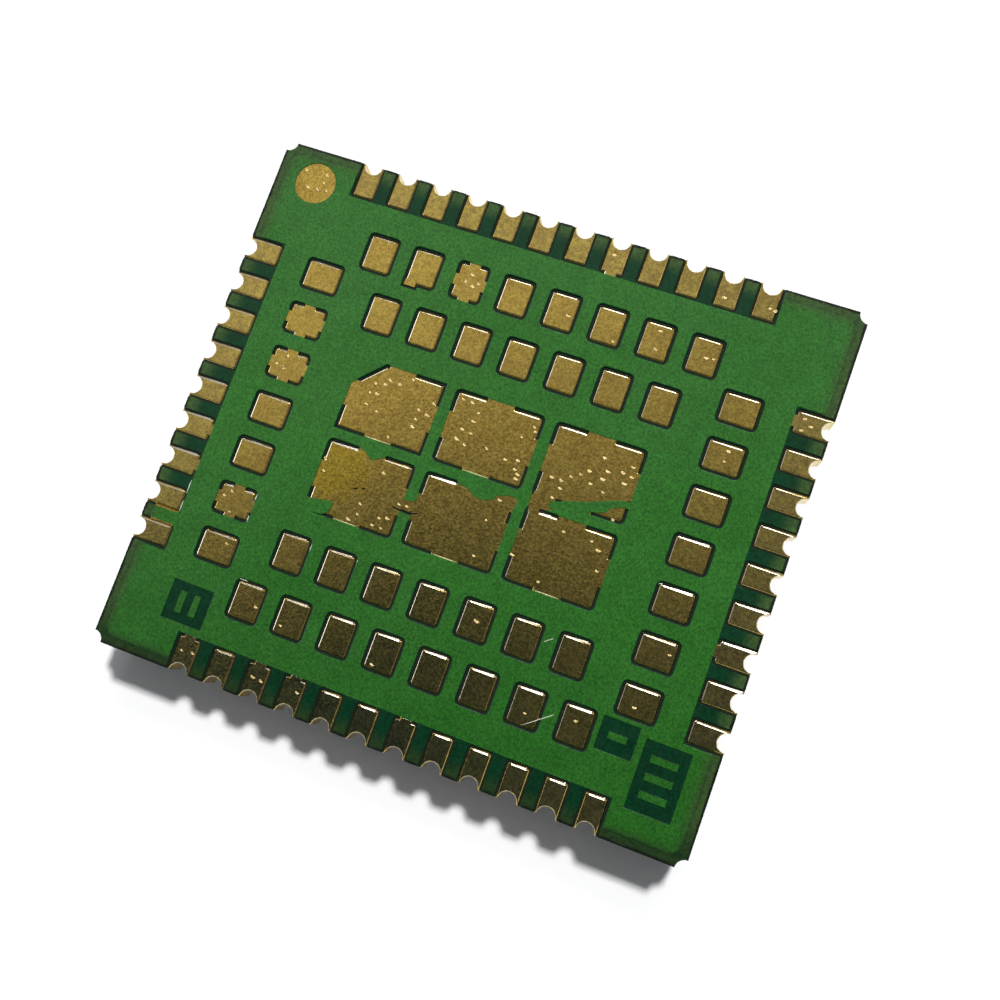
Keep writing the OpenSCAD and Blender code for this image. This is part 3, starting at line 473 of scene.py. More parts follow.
@dataclass(frozen=True)
class GoldFinish(Finish):
    """Thin gold over nickel on copper: faintly grained, with darker stains, painted reflections and bright
    specks.
    """

    bright: Tone
    stain: Tone
    grain_share: float = 0.08
    speck_share: float = 0.0
    roughness: float = 0.17
    painted_reflections: tuple[tuple[float, float, float, Tone], ...] = ()
    dashes: Rows = ()
    dashed: Tone = tone(34, 24, 16)
    ripple: float = 0.0028
    ripple_scale: float = 13.0

    def lay(self, b: Bench) -> None:
        """Lays out the nodes of the look."""
        fine = b.noise(16.0, 4.0, rough=0.6)
        pores = b.noise(34.0, 2.0)
        stain = b.step(b.noise(1.3, 4.0), 0.42, 0.72, 0.0, 0.75)
        patch = b.step(b.noise(5.5, 4.0, rough=0.65), 0.36, 0.66, 0.0, 0.8)
        colour = b.mix(b.math("MAXIMUM", stain, patch), self.bright, self.stain)
        # Painted reflections: brighter yellow spots laid over the gold.
        for x, y, radius, shade in self.painted_reflections:
            colour = b.mix(b.spot(x, y, radius), colour, shade)
        for dash in self.dashes:
            colour = b.mix(b.stroke(*dash), colour, self.dashed)
        lines = b.step(fine, 0.3, 0.7, 1 - self.grain_share, 1 + self.grain_share)
        lines = b.math("MULTIPLY", lines, b.step(pores, 0.25, 0.7, 0.92, 1.04))
        colour = b.mix(1.0, colour, lines, "MULTIPLY")
        rough = b.step(fine, 0.2, 0.8, self.roughness - 0.04, self.roughness + 0.06)
        ripple = b.noise(self.ripple_scale, 3.0, rough=0.6)
        normal = b.bump(fine, 0.0016, 0.5, b.bump(ripple, self.ripple))
        if self.speck_share > 0:
            distance, chance = b.cells(6.5)
            picked = b.step(chance, 1 - self.speck_share, 1.02 - self.speck_share)
            spot = b.math("MULTIPLY", b.step(distance, 0.08, 0.2, 1.0, 0.0), picked)
            normal = b.bump(spot, 0.016, 0.8, normal)
        b.set(Base_Color=colour, Metallic=1.0, Roughness=rough, Normal=normal)


@dataclass(frozen=True)
class LaminateFinish(Finish):
    """Glass-epoxy board: straw-coloured plies on its cut edges, near black where it shows round the lands,
    its own dark tone deepened by painted shade.
    """

    face: Tone
    resin: Tone
    glass: Tone
    ply: float = 0.1

    def lay(self, b: Bench) -> None:
        """Lays out the nodes of the look."""
        z = b.axis("Z")
        wave = b.math("SINE", b.math("MULTIPLY", z, 2 * math.pi / self.ply))
        wander = b.noise(3.0, 3.0, (1.0, 1.0, 5.0))
        band = b.step(b.math("ADD", wave, b.math("MULTIPLY", wander, 1.4)), 0.0, 1.3)
        fibre = b.step(b.noise(40.0, 3.0, (0.5, 0.5, 1.0)), 0.35, 0.7)
        cut = b.mix(b.math("MULTIPLY", band, fibre), self.resin, self.glass)
        # Flat faces take the near-black face tone: the bare laminate's darker tone, deepened by painted
        # shade of the narrow gaps round the lands.
        flat = b.step(b.math("ABSOLUTE", b.facing("Z")), 0.6, 0.9)
        shade = b.step(b.noise(12.0, 3.0), 0.3, 0.7, 0.8, 1.2)
        colour = b.mix(1.0, b.mix(flat, cut, self.face), shade, "MULTIPLY")
        b.set(Base_Color=colour, Roughness=0.62, IOR=1.52, Normal=b.bump(fibre, 0.006, 0.7))


@dataclass(frozen=True)
class SheetFinish(Finish):
    """Rolled nickel-silver or nickel sheet with fine rolling lines, handling marks and faint tarnish."""

    metal: Tone
    tarnish: Tone
    grain: Grain
    roughness: float = 0.27

    def lay(self, b: Bench) -> None:
        """Lays out the nodes of the look."""
        lines = b.noise(34.0, 5.0, self.grain.value, 0.7)
        haze = b.step(b.noise(0.45, 3.0), 0.35, 0.75, 0.0, 0.55)
        scuff = b.step(b.noise(3.0, 6.0, (0.3, 1.0, 1.0), 0.75), 0.56, 0.64, 0.0, 1.0)
        colour = b.mix(haze, self.metal, self.tarnish)
        colour = b.mix(1.0, colour, b.step(lines, 0.3, 0.7, 0.9, 1.08), "MULTIPLY")
        rough = b.step(lines, 0.25, 0.75, self.roughness - 0.06, self.roughness + 0.1)
        rough = b.math("ADD", rough, b.math("MULTIPLY", scuff, 0.08))
        b.set(Base_Color=colour, Metallic=1.0, Roughness=rough, Normal=b.bump(lines, 0.002, 0.6))


@dataclass(frozen=True)
class SolderFinish(Finish):
    """Tin solder: pale, slightly frosted metal with broad soft dimples."""

    metal: Tone
    dark: Tone

    def lay(self, b: Bench) -> None:
        """Lays out the nodes of the look."""
        crystals = b.noise(18.0, 4.0, rough=0.6)
        colour = b.mix(b.step(crystals, 0.35, 0.75), self.metal, self.dark)
        rough = b.step(b.noise(7.0, 2.0), 0.3, 0.7, 0.24, 0.42)
        b.set(Base_Color=colour, Metallic=1.0, Roughness=rough, Normal=b.bump(crystals, 0.006, 0.6))


@dataclass(frozen=True)
class MouldFinish(Finish):
    """Filled epoxy, ferrite or fired ceramic: matt, with grains of its filler and a fine skin."""

    body: Tone
    grains: Tone
    grain_share: float
    roughness: float
    grain_scale: float = 26.0

    def lay(self, b: Bench) -> None:
        """Lays out the nodes of the look."""
        distance, chance = b.cells(self.grain_scale)
        picked = b.step(chance, 1 - self.grain_share, 1.05 - self.grain_share)
        spot = b.math("MULTIPLY", b.step(distance, 0.15, 0.4, 1.0, 0.0), picked)
        cloud = b.step(b.noise(2.0, 3.0), 0.3, 0.7, 0.86, 1.14)
        colour = b.mix(1.0, b.mix(spot, self.body, self.grains), cloud, "MULTIPLY")
        rough = b.step(b.noise(9.0, 3.0), 0.3, 0.7, self.roughness - 0.08, self.roughness + 0.08)
        b.set(Base_Color=colour, Roughness=rough, IOR=1.5, Normal=b.bump(b.noise(38.0, 3.0), 0.004, 0.6))


@dataclass(frozen=True)
class ScratchFinish(Finish):
    """Fresh scratch: mask or plating turned up as a pale dry burr."""

    pale: Tone
    dull: Tone

    def lay(self, b: Bench) -> None:
        """Lays out the nodes of the look."""
        broken = b.step(b.noise(14.0, 3.0), 0.35, 0.65)
        b.set(
            Base_Color=b.mix(broken, self.dull, self.pale),
            Roughness=b.step(broken, 0.0, 1.0, 0.45, 0.7),
            IOR=1.5,
            Normal=b.bump(b.noise(40.0, 2.0), 0.004, 0.6),
        )


@dataclass(frozen=True)
class Rounding:
    """How the upper edges of a piece are worn, in millimetres and degrees.

    The slopes along the +Y edges are flatter and narrower on the north rows.
    """

    width: float
    lowest: float = -1.0
    slope_w: float = 0.0
    slope_end: float = 0.035
    slope_reach: tuple[float, float] = (8.85, 7.8)
    shortest: float = 0.2
    sharp_end: float = 0.03
    rim_w: float = 0.0
    steps: int = 2

    MIDDLE_TILT: ClassVar[float] = 18.2
    TILT_FALL: ClassVar[float] = 0.83
    FULL_WIDTH_Y: ClassVar[float] = -5.0
    NARROWING: ClassVar[float] = 0.036
    WORN_TILT: ClassVar[float] = 20.6
    SHARP_ANGLE: ClassVar[float] = 30.0
    NORTHWARD: ClassVar[float] = 0.5
    SIDEWAYS: ClassVar[float] = 0.05
    UPRIGHT: ClassVar[float] = 0.1
    TOUCH: ClassVar[float] = 1e-4

    @property
    def widest(self) -> float:
        """Returns the width of the widest rounding: that of a half-hole's rim where there is one."""
        return max(self.width, self.rim_w)

    @classmethod
    def tilt(cls, brink: float) -> float:
        """Returns the slope in degrees towards a +Y edge at this Y."""
        return cls.MIDDLE_TILT - cls.TILT_FALL * brink

    def wide(self, brink: float) -> float:
        """Returns the width of the slope along a +Y edge at this Y."""
        return self.slope_w * (1 - self.NARROWING * (brink - self.FULL_WIDTH_Y))

    def runs(self, shape: bmesh.types.BMesh) -> list[tuple[float, float, float]]:
        """Finds the long straight +Y edges of the upper faces.

        Args:
            shape: Mesh of the piece.

        Returns:
            Lowest X, highest X and Y of each edge.
        """
        found = []
        for edge in shape.edges:
            first, second = [corner.co / MM for corner in edge.verts]
            if len(edge.link_faces) != 2 or min(first.z, second.z) < self.lowest:
                continue
            wall = min(edge.link_faces, key=lambda face: face.normal.z)
            north = wall.normal.y > self.NORTHWARD and abs(wall.normal.x) < self.SIDEWAYS
            level = abs(first.y - second.y) < 10 * self.TOUCH
            inside = abs(first.x) < self.slope_reach[0] and abs(first.y) < self.slope_reach[1]
            if north and level and inside:
                found.append((round(first.y, 4), min(first.x, second.x), max(first.x, second.x)))
        joined: list[tuple[float, float, float]] = []
        for brink, left, right in sorted(found):
            if joined and joined[-1][2] == brink and left < joined[-1][1] + self.TOUCH:
                joined[-1] = (joined[-1][0], max(right, joined[-1][1]), brink)
            else:
                joined.append((left, right, brink))
        return [run for run in joined if run[1] - run[0] > self.shortest]

    def share(self, edge: bmesh.types.BMEdge) -> float:
        """Says how widely one edge is rounded.

        Args:
            edge: Edge of the piece.

        Returns:
            0 for an edge that stays sharp, and otherwise a share of the widest rounding.
        """
        ends = [corner.co / MM for corner in edge.verts]
        if len(edge.link_faces) != 2 or edge.calc_face_angle(0.0) < math.radians(self.SHARP_ANGLE):
            return 0.0
        if min(end.z for end in ends) < self.lowest - self.slope_w:
            return 0.0
        outside = max(max(abs(end.x) - HALF_L, abs(end.y) - HALF_W) for end in ends)
        if outside > -self.sharp_end:
            return 0.0
        upright = min(abs(face.normal.z) for face in edge.link_faces) < self.UPRIGHT
        return 1.0 if self.rim_w > 0 and upright else self.width / self.widest


class Workbench:
    """Modelling steps that the sub-assemblies share."""

    # Degrees that a face may be off the slope it is taken for, and below which edges are smooth
    TILT_SPREAD = 4.0
    SMOOTH_ANGLE = 25.0
    # Components of the normals of slopes, worn edges, rims and upright walls
    SIDEWAYS = 0.12
    WESTWARD = -0.2
    RIM_LEAN, RIM_SPREAD = math.sqrt(0.5), 0.03
    UPRIGHT = 0.3

    def __init__(self, nodes: dict[str, bpy.types.Object]) -> None:
        """Keeps the CAD nodes to work from.

        Args:
            nodes: CAD nodes by name.
        """
        self.nodes = nodes

    @staticmethod
    def only(piece: bpy.types.Object) -> None:
        """Makes one object the only selected and active one."""
        bpy.ops.object.select_all(action="DESELECT")
        piece.select_set(True)
        bpy.context.view_layer.objects.active = piece

    @staticmethod
    def dress(piece: bpy.types.Object, material: bpy.types.Material) -> None:
        """Gives an object one material in place of those it has."""
        piece.data.materials.clear()
        piece.data.materials.append(material)
        for polygon in piece.data.polygons:
            polygon.material_index = 0

    def slope_edges(self, piece: bpy.types.Object, rounding: Rounding) -> int:
        """Slopes the upper face of a piece, in edit mode, down to each of its long +Y edges.

        Args:
            piece: Piece to work on.
            rounding: Width, ends and reach of the slopes.

        Returns:
            How many edges got a slope.
        """
        end, near = rounding.slope_end, rounding.TOUCH
        runs = rounding.runs(bmesh.from_edit_mesh(piece.data))
        across = {round(brink - rounding.wide(brink), 4) for _, _, brink in runs}
        along = {round(x, 4) for left, right, _ in runs for x in (left + end, right - end)}
        planes = [((0.0, y, 0.0), (0.0, 1.0, 0.0)) for y in sorted(across)]
        planes += [((x, 0.0, 0.0), (1.0, 0.0, 0.0)) for x in sorted(along)]
        for place, way in planes:
            bpy.ops.mesh.select_all(action="SELECT")
            bpy.ops.mesh.bisect(plane_co=Vector(place) * MM, plane_no=way, threshold=CUT)
        shape = bmesh.from_edit_mesh(piece.data)
        for corner in [c for c in shape.verts if c.co.z / MM > rounding.lowest]:
            x, y, _ = corner.co / MM
            for left, right, brink in runs:
                wide = rounding.wide(brink)
                past = y - brink + wide
                if left + end - near < x < right - end + near and near < past < wide + near:
                    corner.co.z -= past * math.tan(math.radians(rounding.tilt(brink))) * MM
                    break
        shape.normal_update()
        bmesh.update_edit_mesh(piece.data)
        return len(runs)

    def dress_slopes(self, piece: bpy.types.Object, material: bpy.types.Material) -> None:
        """Gives the slopes along the +Y edges, and the worn edges towards -X, a pale material of their own,
        a painted highlight that whitens their glints.

        Args:
            piece: Piece with one material.
            material: Pale material of the slopes and the worn edges, a painted highlight.
        """
        piece.data.materials.append(material)
        for face in piece.data.polygons:
            east, north, up = face.normal
            slope = math.degrees(math.atan2(north, up))
            lean = math.degrees(math.acos(min(1.0, up)))
            tilted = abs(slope - Rounding.tilt(face.center.y / MM)) < self.TILT_SPREAD
            sloped = tilted and abs(east) < self.SIDEWAYS
            leaning = abs(lean - Rounding.WORN_TILT) < self.TILT_SPREAD
            worn = leaning and east < self.WESTWARD and north > -self.SIDEWAYS
            if sloped or worn:
                face.material_index = 1

    def dress_rims(
        self, piece: bpy.types.Object, material: bpy.types.Material, reach: tuple[float, float]
    ) -> None:
        """Gives the rounded rims of the half-holes a pale material of their own, partly a burr and partly
        painted highlight.

        Args:
            piece: Piece with slopes already dressed.
            material: Pale material of the rims, partly a burr and partly painted highlight.
            reach: How far from the middle, along X or Y, the half-holes begin.
        """
        piece.data.materials.append(material)
        for face in piece.data.polygons:
            x, y, _ = face.center / MM
            outer = abs(x) > reach[0] or abs(y) > reach[1]
            turned = abs(face.normal.z - self.RIM_LEAN) < self.RIM_SPREAD
            if face.material_index == 0 and outer and turned:
                face.material_index = 2

    def soft_copy(
        self, node: str, name: str, rounding: Rounding, material: bpy.types.Material, slot: str
    ) -> bpy.types.Object:
        """Copies a CAD node, joins its loose faces, rounds its sharp edges and dresses it.

        Args:
            node: CAD node to copy and to stand for.
            name: Name of the new piece.
            rounding: Widths of the rounded edges, and where they are.
            material: Material of the piece.
            slot: Material slot of the record; not used.

        Returns:
            The new piece.
        """
        piece = bpy.data.objects.new(name, self.nodes[node].data.copy())
        bpy.context.scene.collection.objects.link(piece)
        self.only(piece)
        bpy.ops.object.mode_set(mode="EDIT")
        bpy.ops.mesh.select_all(action="SELECT")
        bpy.ops.mesh.customdata_custom_splitnormals_clear()
        bpy.ops.mesh.remove_doubles(threshold=MERGE)
        if rounding.slope_w > 0:
            LOG.info("%d slopes on %s", self.slope_edges(piece, rounding), name)
        shape = bmesh.from_edit_mesh(piece.data)
        weights = shape.edges.layers.float.new("bevel_weight_edge")
        for edge in shape.edges:
            edge[weights] = rounding.share(edge)
        bmesh.update_edit_mesh(piece.data)
        bpy.ops.object.mode_set(mode="OBJECT")
        bevel = piece.modifiers.new("rounded_edges", "BEVEL")
        bevel.limit_method = "WEIGHT"
        bevel.width = rounding.widest * MM
        bevel.segments = rounding.steps
        bevel.use_clamp_overlap = False
        bpy.ops.object.modifier_apply(modifier=bevel.name)
        bpy.ops.object.shade_smooth_by_angle(angle=math.radians(self.SMOOTH_ANGLE))
        low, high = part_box(node)
        for corner in piece.data.vertices:
            corner.co = [min(max(c, a), b) for c, a, b in zip(corner.co, low, high)]
        for face in piece.data.polygons:
            face.use_smooth = face.use_smooth and abs(face.normal.z) < self.UPRIGHT
        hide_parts(node)
        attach(piece, "root")
        self.dress(piece, material)
        LOG.info("piece %s: %d faces", name, len(piece.data.polygons))
        return piece

    def keep(self, node: str, material: bpy.types.Material) -> None:
        """Dresses a CAD node that stays as it is."""
        self.dress(self.nodes[node], material)
        LOG.info("node %s takes %s", node, material.name)


@dataclass
class LandSide:
    """The side that is soldered down: mask, small lands, ground lands and edge contacts."""

    bench: Workbench
    mask_round: float = 0.012
    land_round: float = 0.008
    slope_w: float = 0.036
    rim_w: float = 0.018
    rim_reach: tuple[float, float] = (8.45, 7.5)
    ground_reach: tuple[float, float] = (4.8, 2.7)
    just_below: float = 0.001

    # Painted reflection: a brighter yellow spot on the west part of one ground land.
    PAINTED_REFLECTIONS = ((-3.95, -0.85, 1.35, tone(240, 204, 80)),)
    DASHES = ((-3.09, -1.31, 0.15, 22.0, 0.05), (-2.875, -1.235, 0.14, 18.0, 0.045))
    SCRATCHES = ((3.93, -5.54, 0.98, 37.6, 0.03), (3.475, -3.45, 0.3, 38.0, 0.028))
    MASK = MaskFinish(
        "solder_mask_green",
        over_copper=tone(50, 102, 42),
        over_copper_far=tone(38, 97, 28),
        over_laminate=tone(4, 51, 26),
        rim=tone(55, 80, 39),
        step_low=2.283,
        step_high=2.297,
        rim_south=tone(36, 58, 26),
        scratches=SCRATCHES,
    )
    GOLD = GoldFinish("land_gold", tone(234, 203, 103), tone(208, 173, 89), 0.28, 0.02)
    PLANE = GoldFinish(
        "ground_gold", tone(237, 204, 103), tone(212, 175, 85), 0.34, 0.03, 0.18, PAINTED_REFLECTIONS, DASHES
    )
    CONTACT = GoldFinish("contact_gold", tone(231, 205, 110), tone(190, 162, 98), 0.26, 0.02)
    # Pale, nearly white gold on the slopes and worn edges, so that their glints read white: painted
    # highlight.
    GLINT_GOLD = GoldFinish(
        "painted_glint_gold", tone(251, 244, 226), tone(238, 226, 196), 0.03, 0.0, 0.2, ripple=0.0006
    )
    # Pale rims of the half-holes: partly a burr of plating, partly painted highlight of the lit rim.
    PALE_RIMS = ScratchFinish("pale_rims_burr_and_highlight", tone(216, 210, 190), tone(170, 162, 140))
    # Near-black face: partly the bare laminate's own tone, partly painted shade of the gaps round the
    # lands.
    LAMINATE = LaminateFinish("glass_epoxy", tone(14, 26, 14), tone(74, 70, 38), tone(128, 122, 82))

    SMALL_LANDS = ("north_outer", "north_inner", "west", "south_inner", "south_outer", "east")
    EDGES = ("north", "west", "south", "east")

    def build(self) -> None:
        """Makes the pieces of this side."""
        gold, plane, contact = self.GOLD.make(), self.PLANE.make(), self.CONTACT.make()
        self.bench.keep("laminate", self.LAMINATE.make())
        upper = LAND_TOP - self.just_below
        film = Rounding(self.mask_round, upper)
        sheet = Rounding(self.land_round, upper, self.slope_w, slope_reach=self.ground_reach, steps=1)
        land = Rounding(self.land_round, upper, self.slope_w, steps=1)
        holed = Rounding(self.land_round, upper, self.slope_w, rim_w=self.rim_w, steps=1)
        soften = self.bench.soft_copy
        soften("land_mask", "mask_film", film, self.MASK.make(), "land_mask")
        soften("window_bars", "window_copper", film, plane, "ground_copper")
        lands = [soften("ground_plane", "ground_copper", sheet, plane, "ground_copper")]
        for row in self.SMALL_LANDS:
            lands.append(soften(f"lands_{row}", f"small_lands_{row}", land, gold, "land_gold"))
        contacts = []
        for edge in self.EDGES:
            name = f"edge_contacts_{edge}"
            contacts.append(soften(f"contacts_{edge}", name, holed, contact, "contact_gold"))
        thin, worn = self.GLINT_GOLD.make(), self.PALE_RIMS.make()
        # Slopes and worn edges take the pale gold, a painted highlight.
        for piece in lands + contacts:
            self.bench.dress_slopes(piece, thin)
        # Half-hole rims take the pale rim material, partly a burr and partly painted highlight.
        for piece in contacts:
            self.bench.dress_rims(piece, worn, self.rim_reach)


@dataclass
class WearMarksAndGlints:
    """Nodules of plating on the land side, and pale slivers on the mask's edges: painted glints, and one
    scratch burr.

    The flat top of a nodule leans along X by lean_rate degrees for each millimetre from upright_x,
    and along Y as the slopes do. Size and lean differ a little by chance.
    """

    bench: Workbench
    highest: float = 2.2995
    nodule_r: float = 0.046
    nodule_h: float = 0.012
    nodule_top: float = 0.005
    nodule_sizes: tuple[float, float] = (1.0, 1.55)
    nodule_widths: tuple[float, float] = (0.8, 1.4)
    upright_x: float = 6.0
    lean_rate: float = 1.04
    lean_spread: tuple[float, float] = (-4.0, 4.0)
    seed: int = 7
    sliver_w: float = 0.022
    sliver_h: float = 0.05
    sliver_taper: float = 0.75
    sliver_droop: float = 0.004
    sliver_cuts: int = 3

    # Paler than the lands' gold, so that the nodules read as white specks: painted highlight.
    NODULE = GoldFinish("nodule_plating", tone(238, 212, 152), tone(218, 190, 130), 0.05, 0.0, 0.4)
    # Pale slivers: painted glints on the mask's edges; the last row is a scratch burr on the mask.
    EDGE_GLINT = ScratchFinish("painted_glints_and_burr", tone(236, 244, 232), tone(176, 198, 172))
    # Pale yellowish slivers on the mask's +Y-facing edges over the ground lands' ties: painted glints.
    TIE_GLINT = ScratchFinish("painted_tie_glints", tone(226, 222, 170), tone(180, 182, 116))

    NODULES = (
        (-7.3, 7.17), (-7.95, 7.15), (-7.3, 6.92), (-7.15, 6.72), (-7.42, 6.68), (-7.72, 6.67),
        (1.58, 7.38), (6.18, 7.2), (6.33, 7.17), (4.9, 7.13), (3.53, 5.67), (-2.08, 5.6), (-1.83, 5.4),
        (-2.2, 5.35), (5.17, 5.35), (4.97, 5.33), (0.93, 5.3), (-1.97, 5.28), (2.38, 4.98), (3.57, 5.13),
        (8.02, 4.53), (8.23, 4.37), (8.02, 4.2), (6.37, 3.03), (6.35, 2.73), (-2.63, 2.17), (-0.78, 2.08),
        (-1.06, 2.09), (1.12, 1.97), (-3.25, 1.95), (-2.95, 1.92), (-0.52, 1.85), (1.18, 1.85),
        (-3.35, 1.78), (3.25, 1.78), (4.08, 1.78), (-3.63, 1.73), (-1.83, 1.7), (0.87, 1.6),
        (-0.57, 1.58), (3.87, 1.55), (4.13, 1.5), (-3.48, 1.45), (3.47, 1.45), (-3.7, 1.43), (-2.17, 1.4),
        (-1.88, 1.33), (2.98, 1.3), (-0.8, 1.27), (4.0, 1.27), (-0.52, 1.23), (3.4, 1.2), (2.78, 1.13),
        (-2.17, 1.12), (-3.68, 1.08), (2.55, 0.98), (-3.32, 0.97), (-0.85, 0.97), (0.05, 0.97),
        (3.12, 0.97), (1.0, 0.93), (-2.17, 0.88), (-0.58, 0.87), (0.65, 0.85), (3.52, 0.85), (2.05, 0.8),
        (2.33, 0.8), (1.0, 0.67), (2.37, 0.58), (1.12, 0.43), (1.12, 0.56), (2.25, 0.27), (4.03, 0.22),
        (-2.73, 0.38), (-6.38, 1.67), (-6.63, 1.37), (-6.38, 1.32), (0.9, -0.28), (2.87, -0.52),
        (3.68, -0.52), (-2.48, -0.63), (3.93, -0.7), (-4.23, -0.78), (0.73, -0.93), (-4.15, -1.12),
        (4.08, -1.25), (-1.52, -1.3), (-1.74, -1.32), (-2.8, -1.67), (-1.92, -1.8), (-2.15, -1.87),
        (-2.78, -1.97), (0.75, -1.97), (2.67, -2.05), (-2.27, -2.12), (-2.0, -2.12), (-2.97, -2.18),
        (1.75, -1.59), (-6.47, -2.55), (-6.65, -2.73), (-6.33, -3.12), (-6.05, -4.0), (6.65, -2.72),
        (6.22, -4.35), (1.45, -3.63), (4.88, -5.22), (-4.58, -5.38), (3.53, -5.5), (-3.72, -5.62),
        (-0.88, -5.73), (-5.82, -7.2), (-3.93, -7.2), (-6.15, -7.23), (-3.67, -7.23), (-2.58, -7.17),
    )
    # Painted glints on the mask's edges; the last row is the scratch burr.
    EDGE_GLINTS_AND_BURR = (
        (-5.74, -2.49, 0.23, 90, 1.0), (-5.74, -3.14, 0.2, 90, 1.0), (-7.745, -2.85, 0.42, 90, 1.0),
        (-7.745, -3.45, 0.34, 90, 1.0), (-3.695, -3.31, 0.28, 90, 1.0), (-2.295, -3.2, 0.14, 90, 1.0),
        (-5.2, -4.795, 0.24, 0, 1.0), (5.81, -1.0, 0.12, 20, 1.0), (3.93, -5.54, 0.98, 37.6, 0.8),
    )
    # Painted glints on the mask's edges south of the ground lands, over the ties.
    TIE_GLINTS = (
        (-2.99, 0.185, 0.8, 0, 1.3), (0.0, 0.185, 0.76, 0, 1.3), (-3.03, -2.315, 0.72, 0, 1.3),
        (0.0, -2.315, 0.76, 0, 1.3), (2.98, -2.315, 0.76, 0, 1.3),
    )

    def build(self) -> None:
        """Makes the nodules, and the pale slivers on the mask's edges: painted glints, and one scratch
        burr.
        """
        self._finish(self._nodules(), self.NODULE.make())
        self._finish(self._slivers("mask_glints_and_burr", self.EDGE_GLINTS_AND_BURR), self.EDGE_GLINT.make())
        self._finish(self._slivers("mask_tie_glints", self.TIE_GLINTS), self.TIE_GLINT.make())

    def _finish(self, piece: bpy.types.Object, material: bpy.types.Material) -> None:
        """Dresses a finished piece and fixes it to the module."""
        self.bench.dress(piece, material)
        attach(piece, "root")
        LOG.info("piece %s: %d faces", piece.name, len(piece.data.polygons))

    @staticmethod
    def _spread(
        model: bpy.types.Object, name: str, places: Sequence[tuple[Vector, Euler, Vector]]
    ) -> bpy.types.Object:
        """Copies a model to each place and joins the copies to one piece.

        Args:
            model: Model at the origin, which is removed afterwards.
            name: Name of the piece.
            places: Location, rotation and scale of each copy.

        Returns:
            The piece, with its place in its mesh.
        """
        copies = []
        for place, turn, size in places:
            copy = bpy.data.objects.new(name, model.data.copy())
            copy.location, copy.rotation_euler, copy.scale = place * MM, turn, size
            bpy.context.scene.collection.objects.link(copy)
            copies.append(copy)
        bpy.data.objects.remove(model)
        bpy.ops.object.select_all(action="DESELECT")
        for copy in copies:
            copy.select_set(True)
        bpy.context.view_layer.objects.active = copies[0]
        bpy.ops.object.transform_apply(location=True, rotation=True, scale=True)
        bpy.ops.object.join()
        piece = bpy.context.object
        piece.name = name
        return piece

    def _nodules(self) -> bpy.types.Object:
        """Models one low dome of plating and spreads copies of it over the lands.

        Returns:
            The nodules as one piece.
        """
        bpy.ops.object.select_all(action="DESELECT")
        bpy.ops.mesh.primitive_ico_sphere_add(subdivisions=2, radius=self.nodule_r * MM)
        model = bpy.context.object
        bpy.ops.object.mode_set(mode="EDIT")
        bpy.ops.mesh.select_all(action="SELECT")
        bpy.ops.transform.resize(value=(1, 1, self.nodule_h / self.nodule_r), center_override=(0, 0, 0))
        top = (0, 0, self.nodule_top * MM)
        bpy.ops.mesh.bisect(
            plane_co=top, plane_no=(0, 0, 1), use_fill=True, clear_outer=True, threshold=CUT
        )
        bpy.ops.object.mode_set(mode="OBJECT")
        dice = random.Random(self.seed)
        places = []
        for x, y in self.NODULES:
            size = dice.uniform(*self.nodule_sizes)
            lean_x = self.lean_rate * (self.upright_x - x) + dice.uniform(*self.lean_spread)
            lean_y = Rounding.tilt(y) + dice.uniform(*self.lean_spread)
            turn = Euler((-math.radians(lean_y), math.radians(lean_x), 0.0))
            scale = Vector((size * dice.uniform(*self.nodule_widths), size, 1.0))
            places.append((Vector((x, y, LAND_TOP)), turn, scale))
        piece = self._spread(model, "plating_nodules", places)
        for corner in piece.data.vertices:
            corner.co.z = min(corner.co.z, self.highest * MM)
        return piece

    def _slivers(self, name: str, rows: Rows) -> bpy.types.Object:
        """Models one pale sliver and sets copies of it along the mask's edges; most copies are painted
        glints, one is a scratch burr.

        Args:
            name: Name of the piece.
            rows: X, Y, length, turn in degrees and share of the full width of each sliver.

        Returns:
            The slivers as one piece.
        """
        bpy.ops.object.select_all(action="DESELECT")
        bpy.ops.mesh.primitive_cube_add(size=MM)
        model = bpy.context.object
        bpy.ops.object.mode_set(mode="EDIT")
        bpy.ops.mesh.select_all(action="SELECT")
        bpy.ops.transform.resize(value=(1, self.sliver_w, self.sliver_h), center_override=(0, 0, 0))
        bpy.ops.mesh.subdivide(number_cuts=self.sliver_cuts)
        shape = bmesh.from_edit_mesh(model.data)
        for corner in shape.verts:
            end = abs(corner.co.x) / (0.5 * MM)
            corner.co.y *= 1 - self.sliver_taper * end**2
            if corner.co.z > 0:
                corner.co.z -= self.sliver_droop * MM * end
        bmesh.update_edit_mesh(model.data)
        bpy.ops.object.mode_set(mode="OBJECT")
        places = []
        for x, y, length, turn, width in rows:
            place = Vector((x, y, self.highest - self.sliver_h / 2))
            places.append((place, Euler((0, 0, math.radians(turn))), Vector((length, width, 1.0))))
        return self._spread(model, name, places)


@dataclass
class ShieldCan:
    """Folded shield: the lid that the module lies on, and the frame that it snaps over."""

    bench: Workbench
    edge_round: float = 0.02

    LID = SheetFinish("shield_lid_sheet", tone(202, 200, 194), tone(168, 162, 150), Grain.ALONG_X)
    FRAME = SheetFinish("shield_frame_sheet", tone(196, 195, 190), tone(160, 154, 142), Grain.ALONG_Y, 0.32)
    SHEETS = (("shield_lid", "lid_sheet", LID), ("shield_frame", "frame_sheet", FRAME))

    def build(self) -> None:
        """Makes the lid and the frame."""
        for node, name, finish in self.SHEETS:
            self.bench.soft_copy(node, name, Rounding(self.edge_round), finish.make(), "shield_sheet")


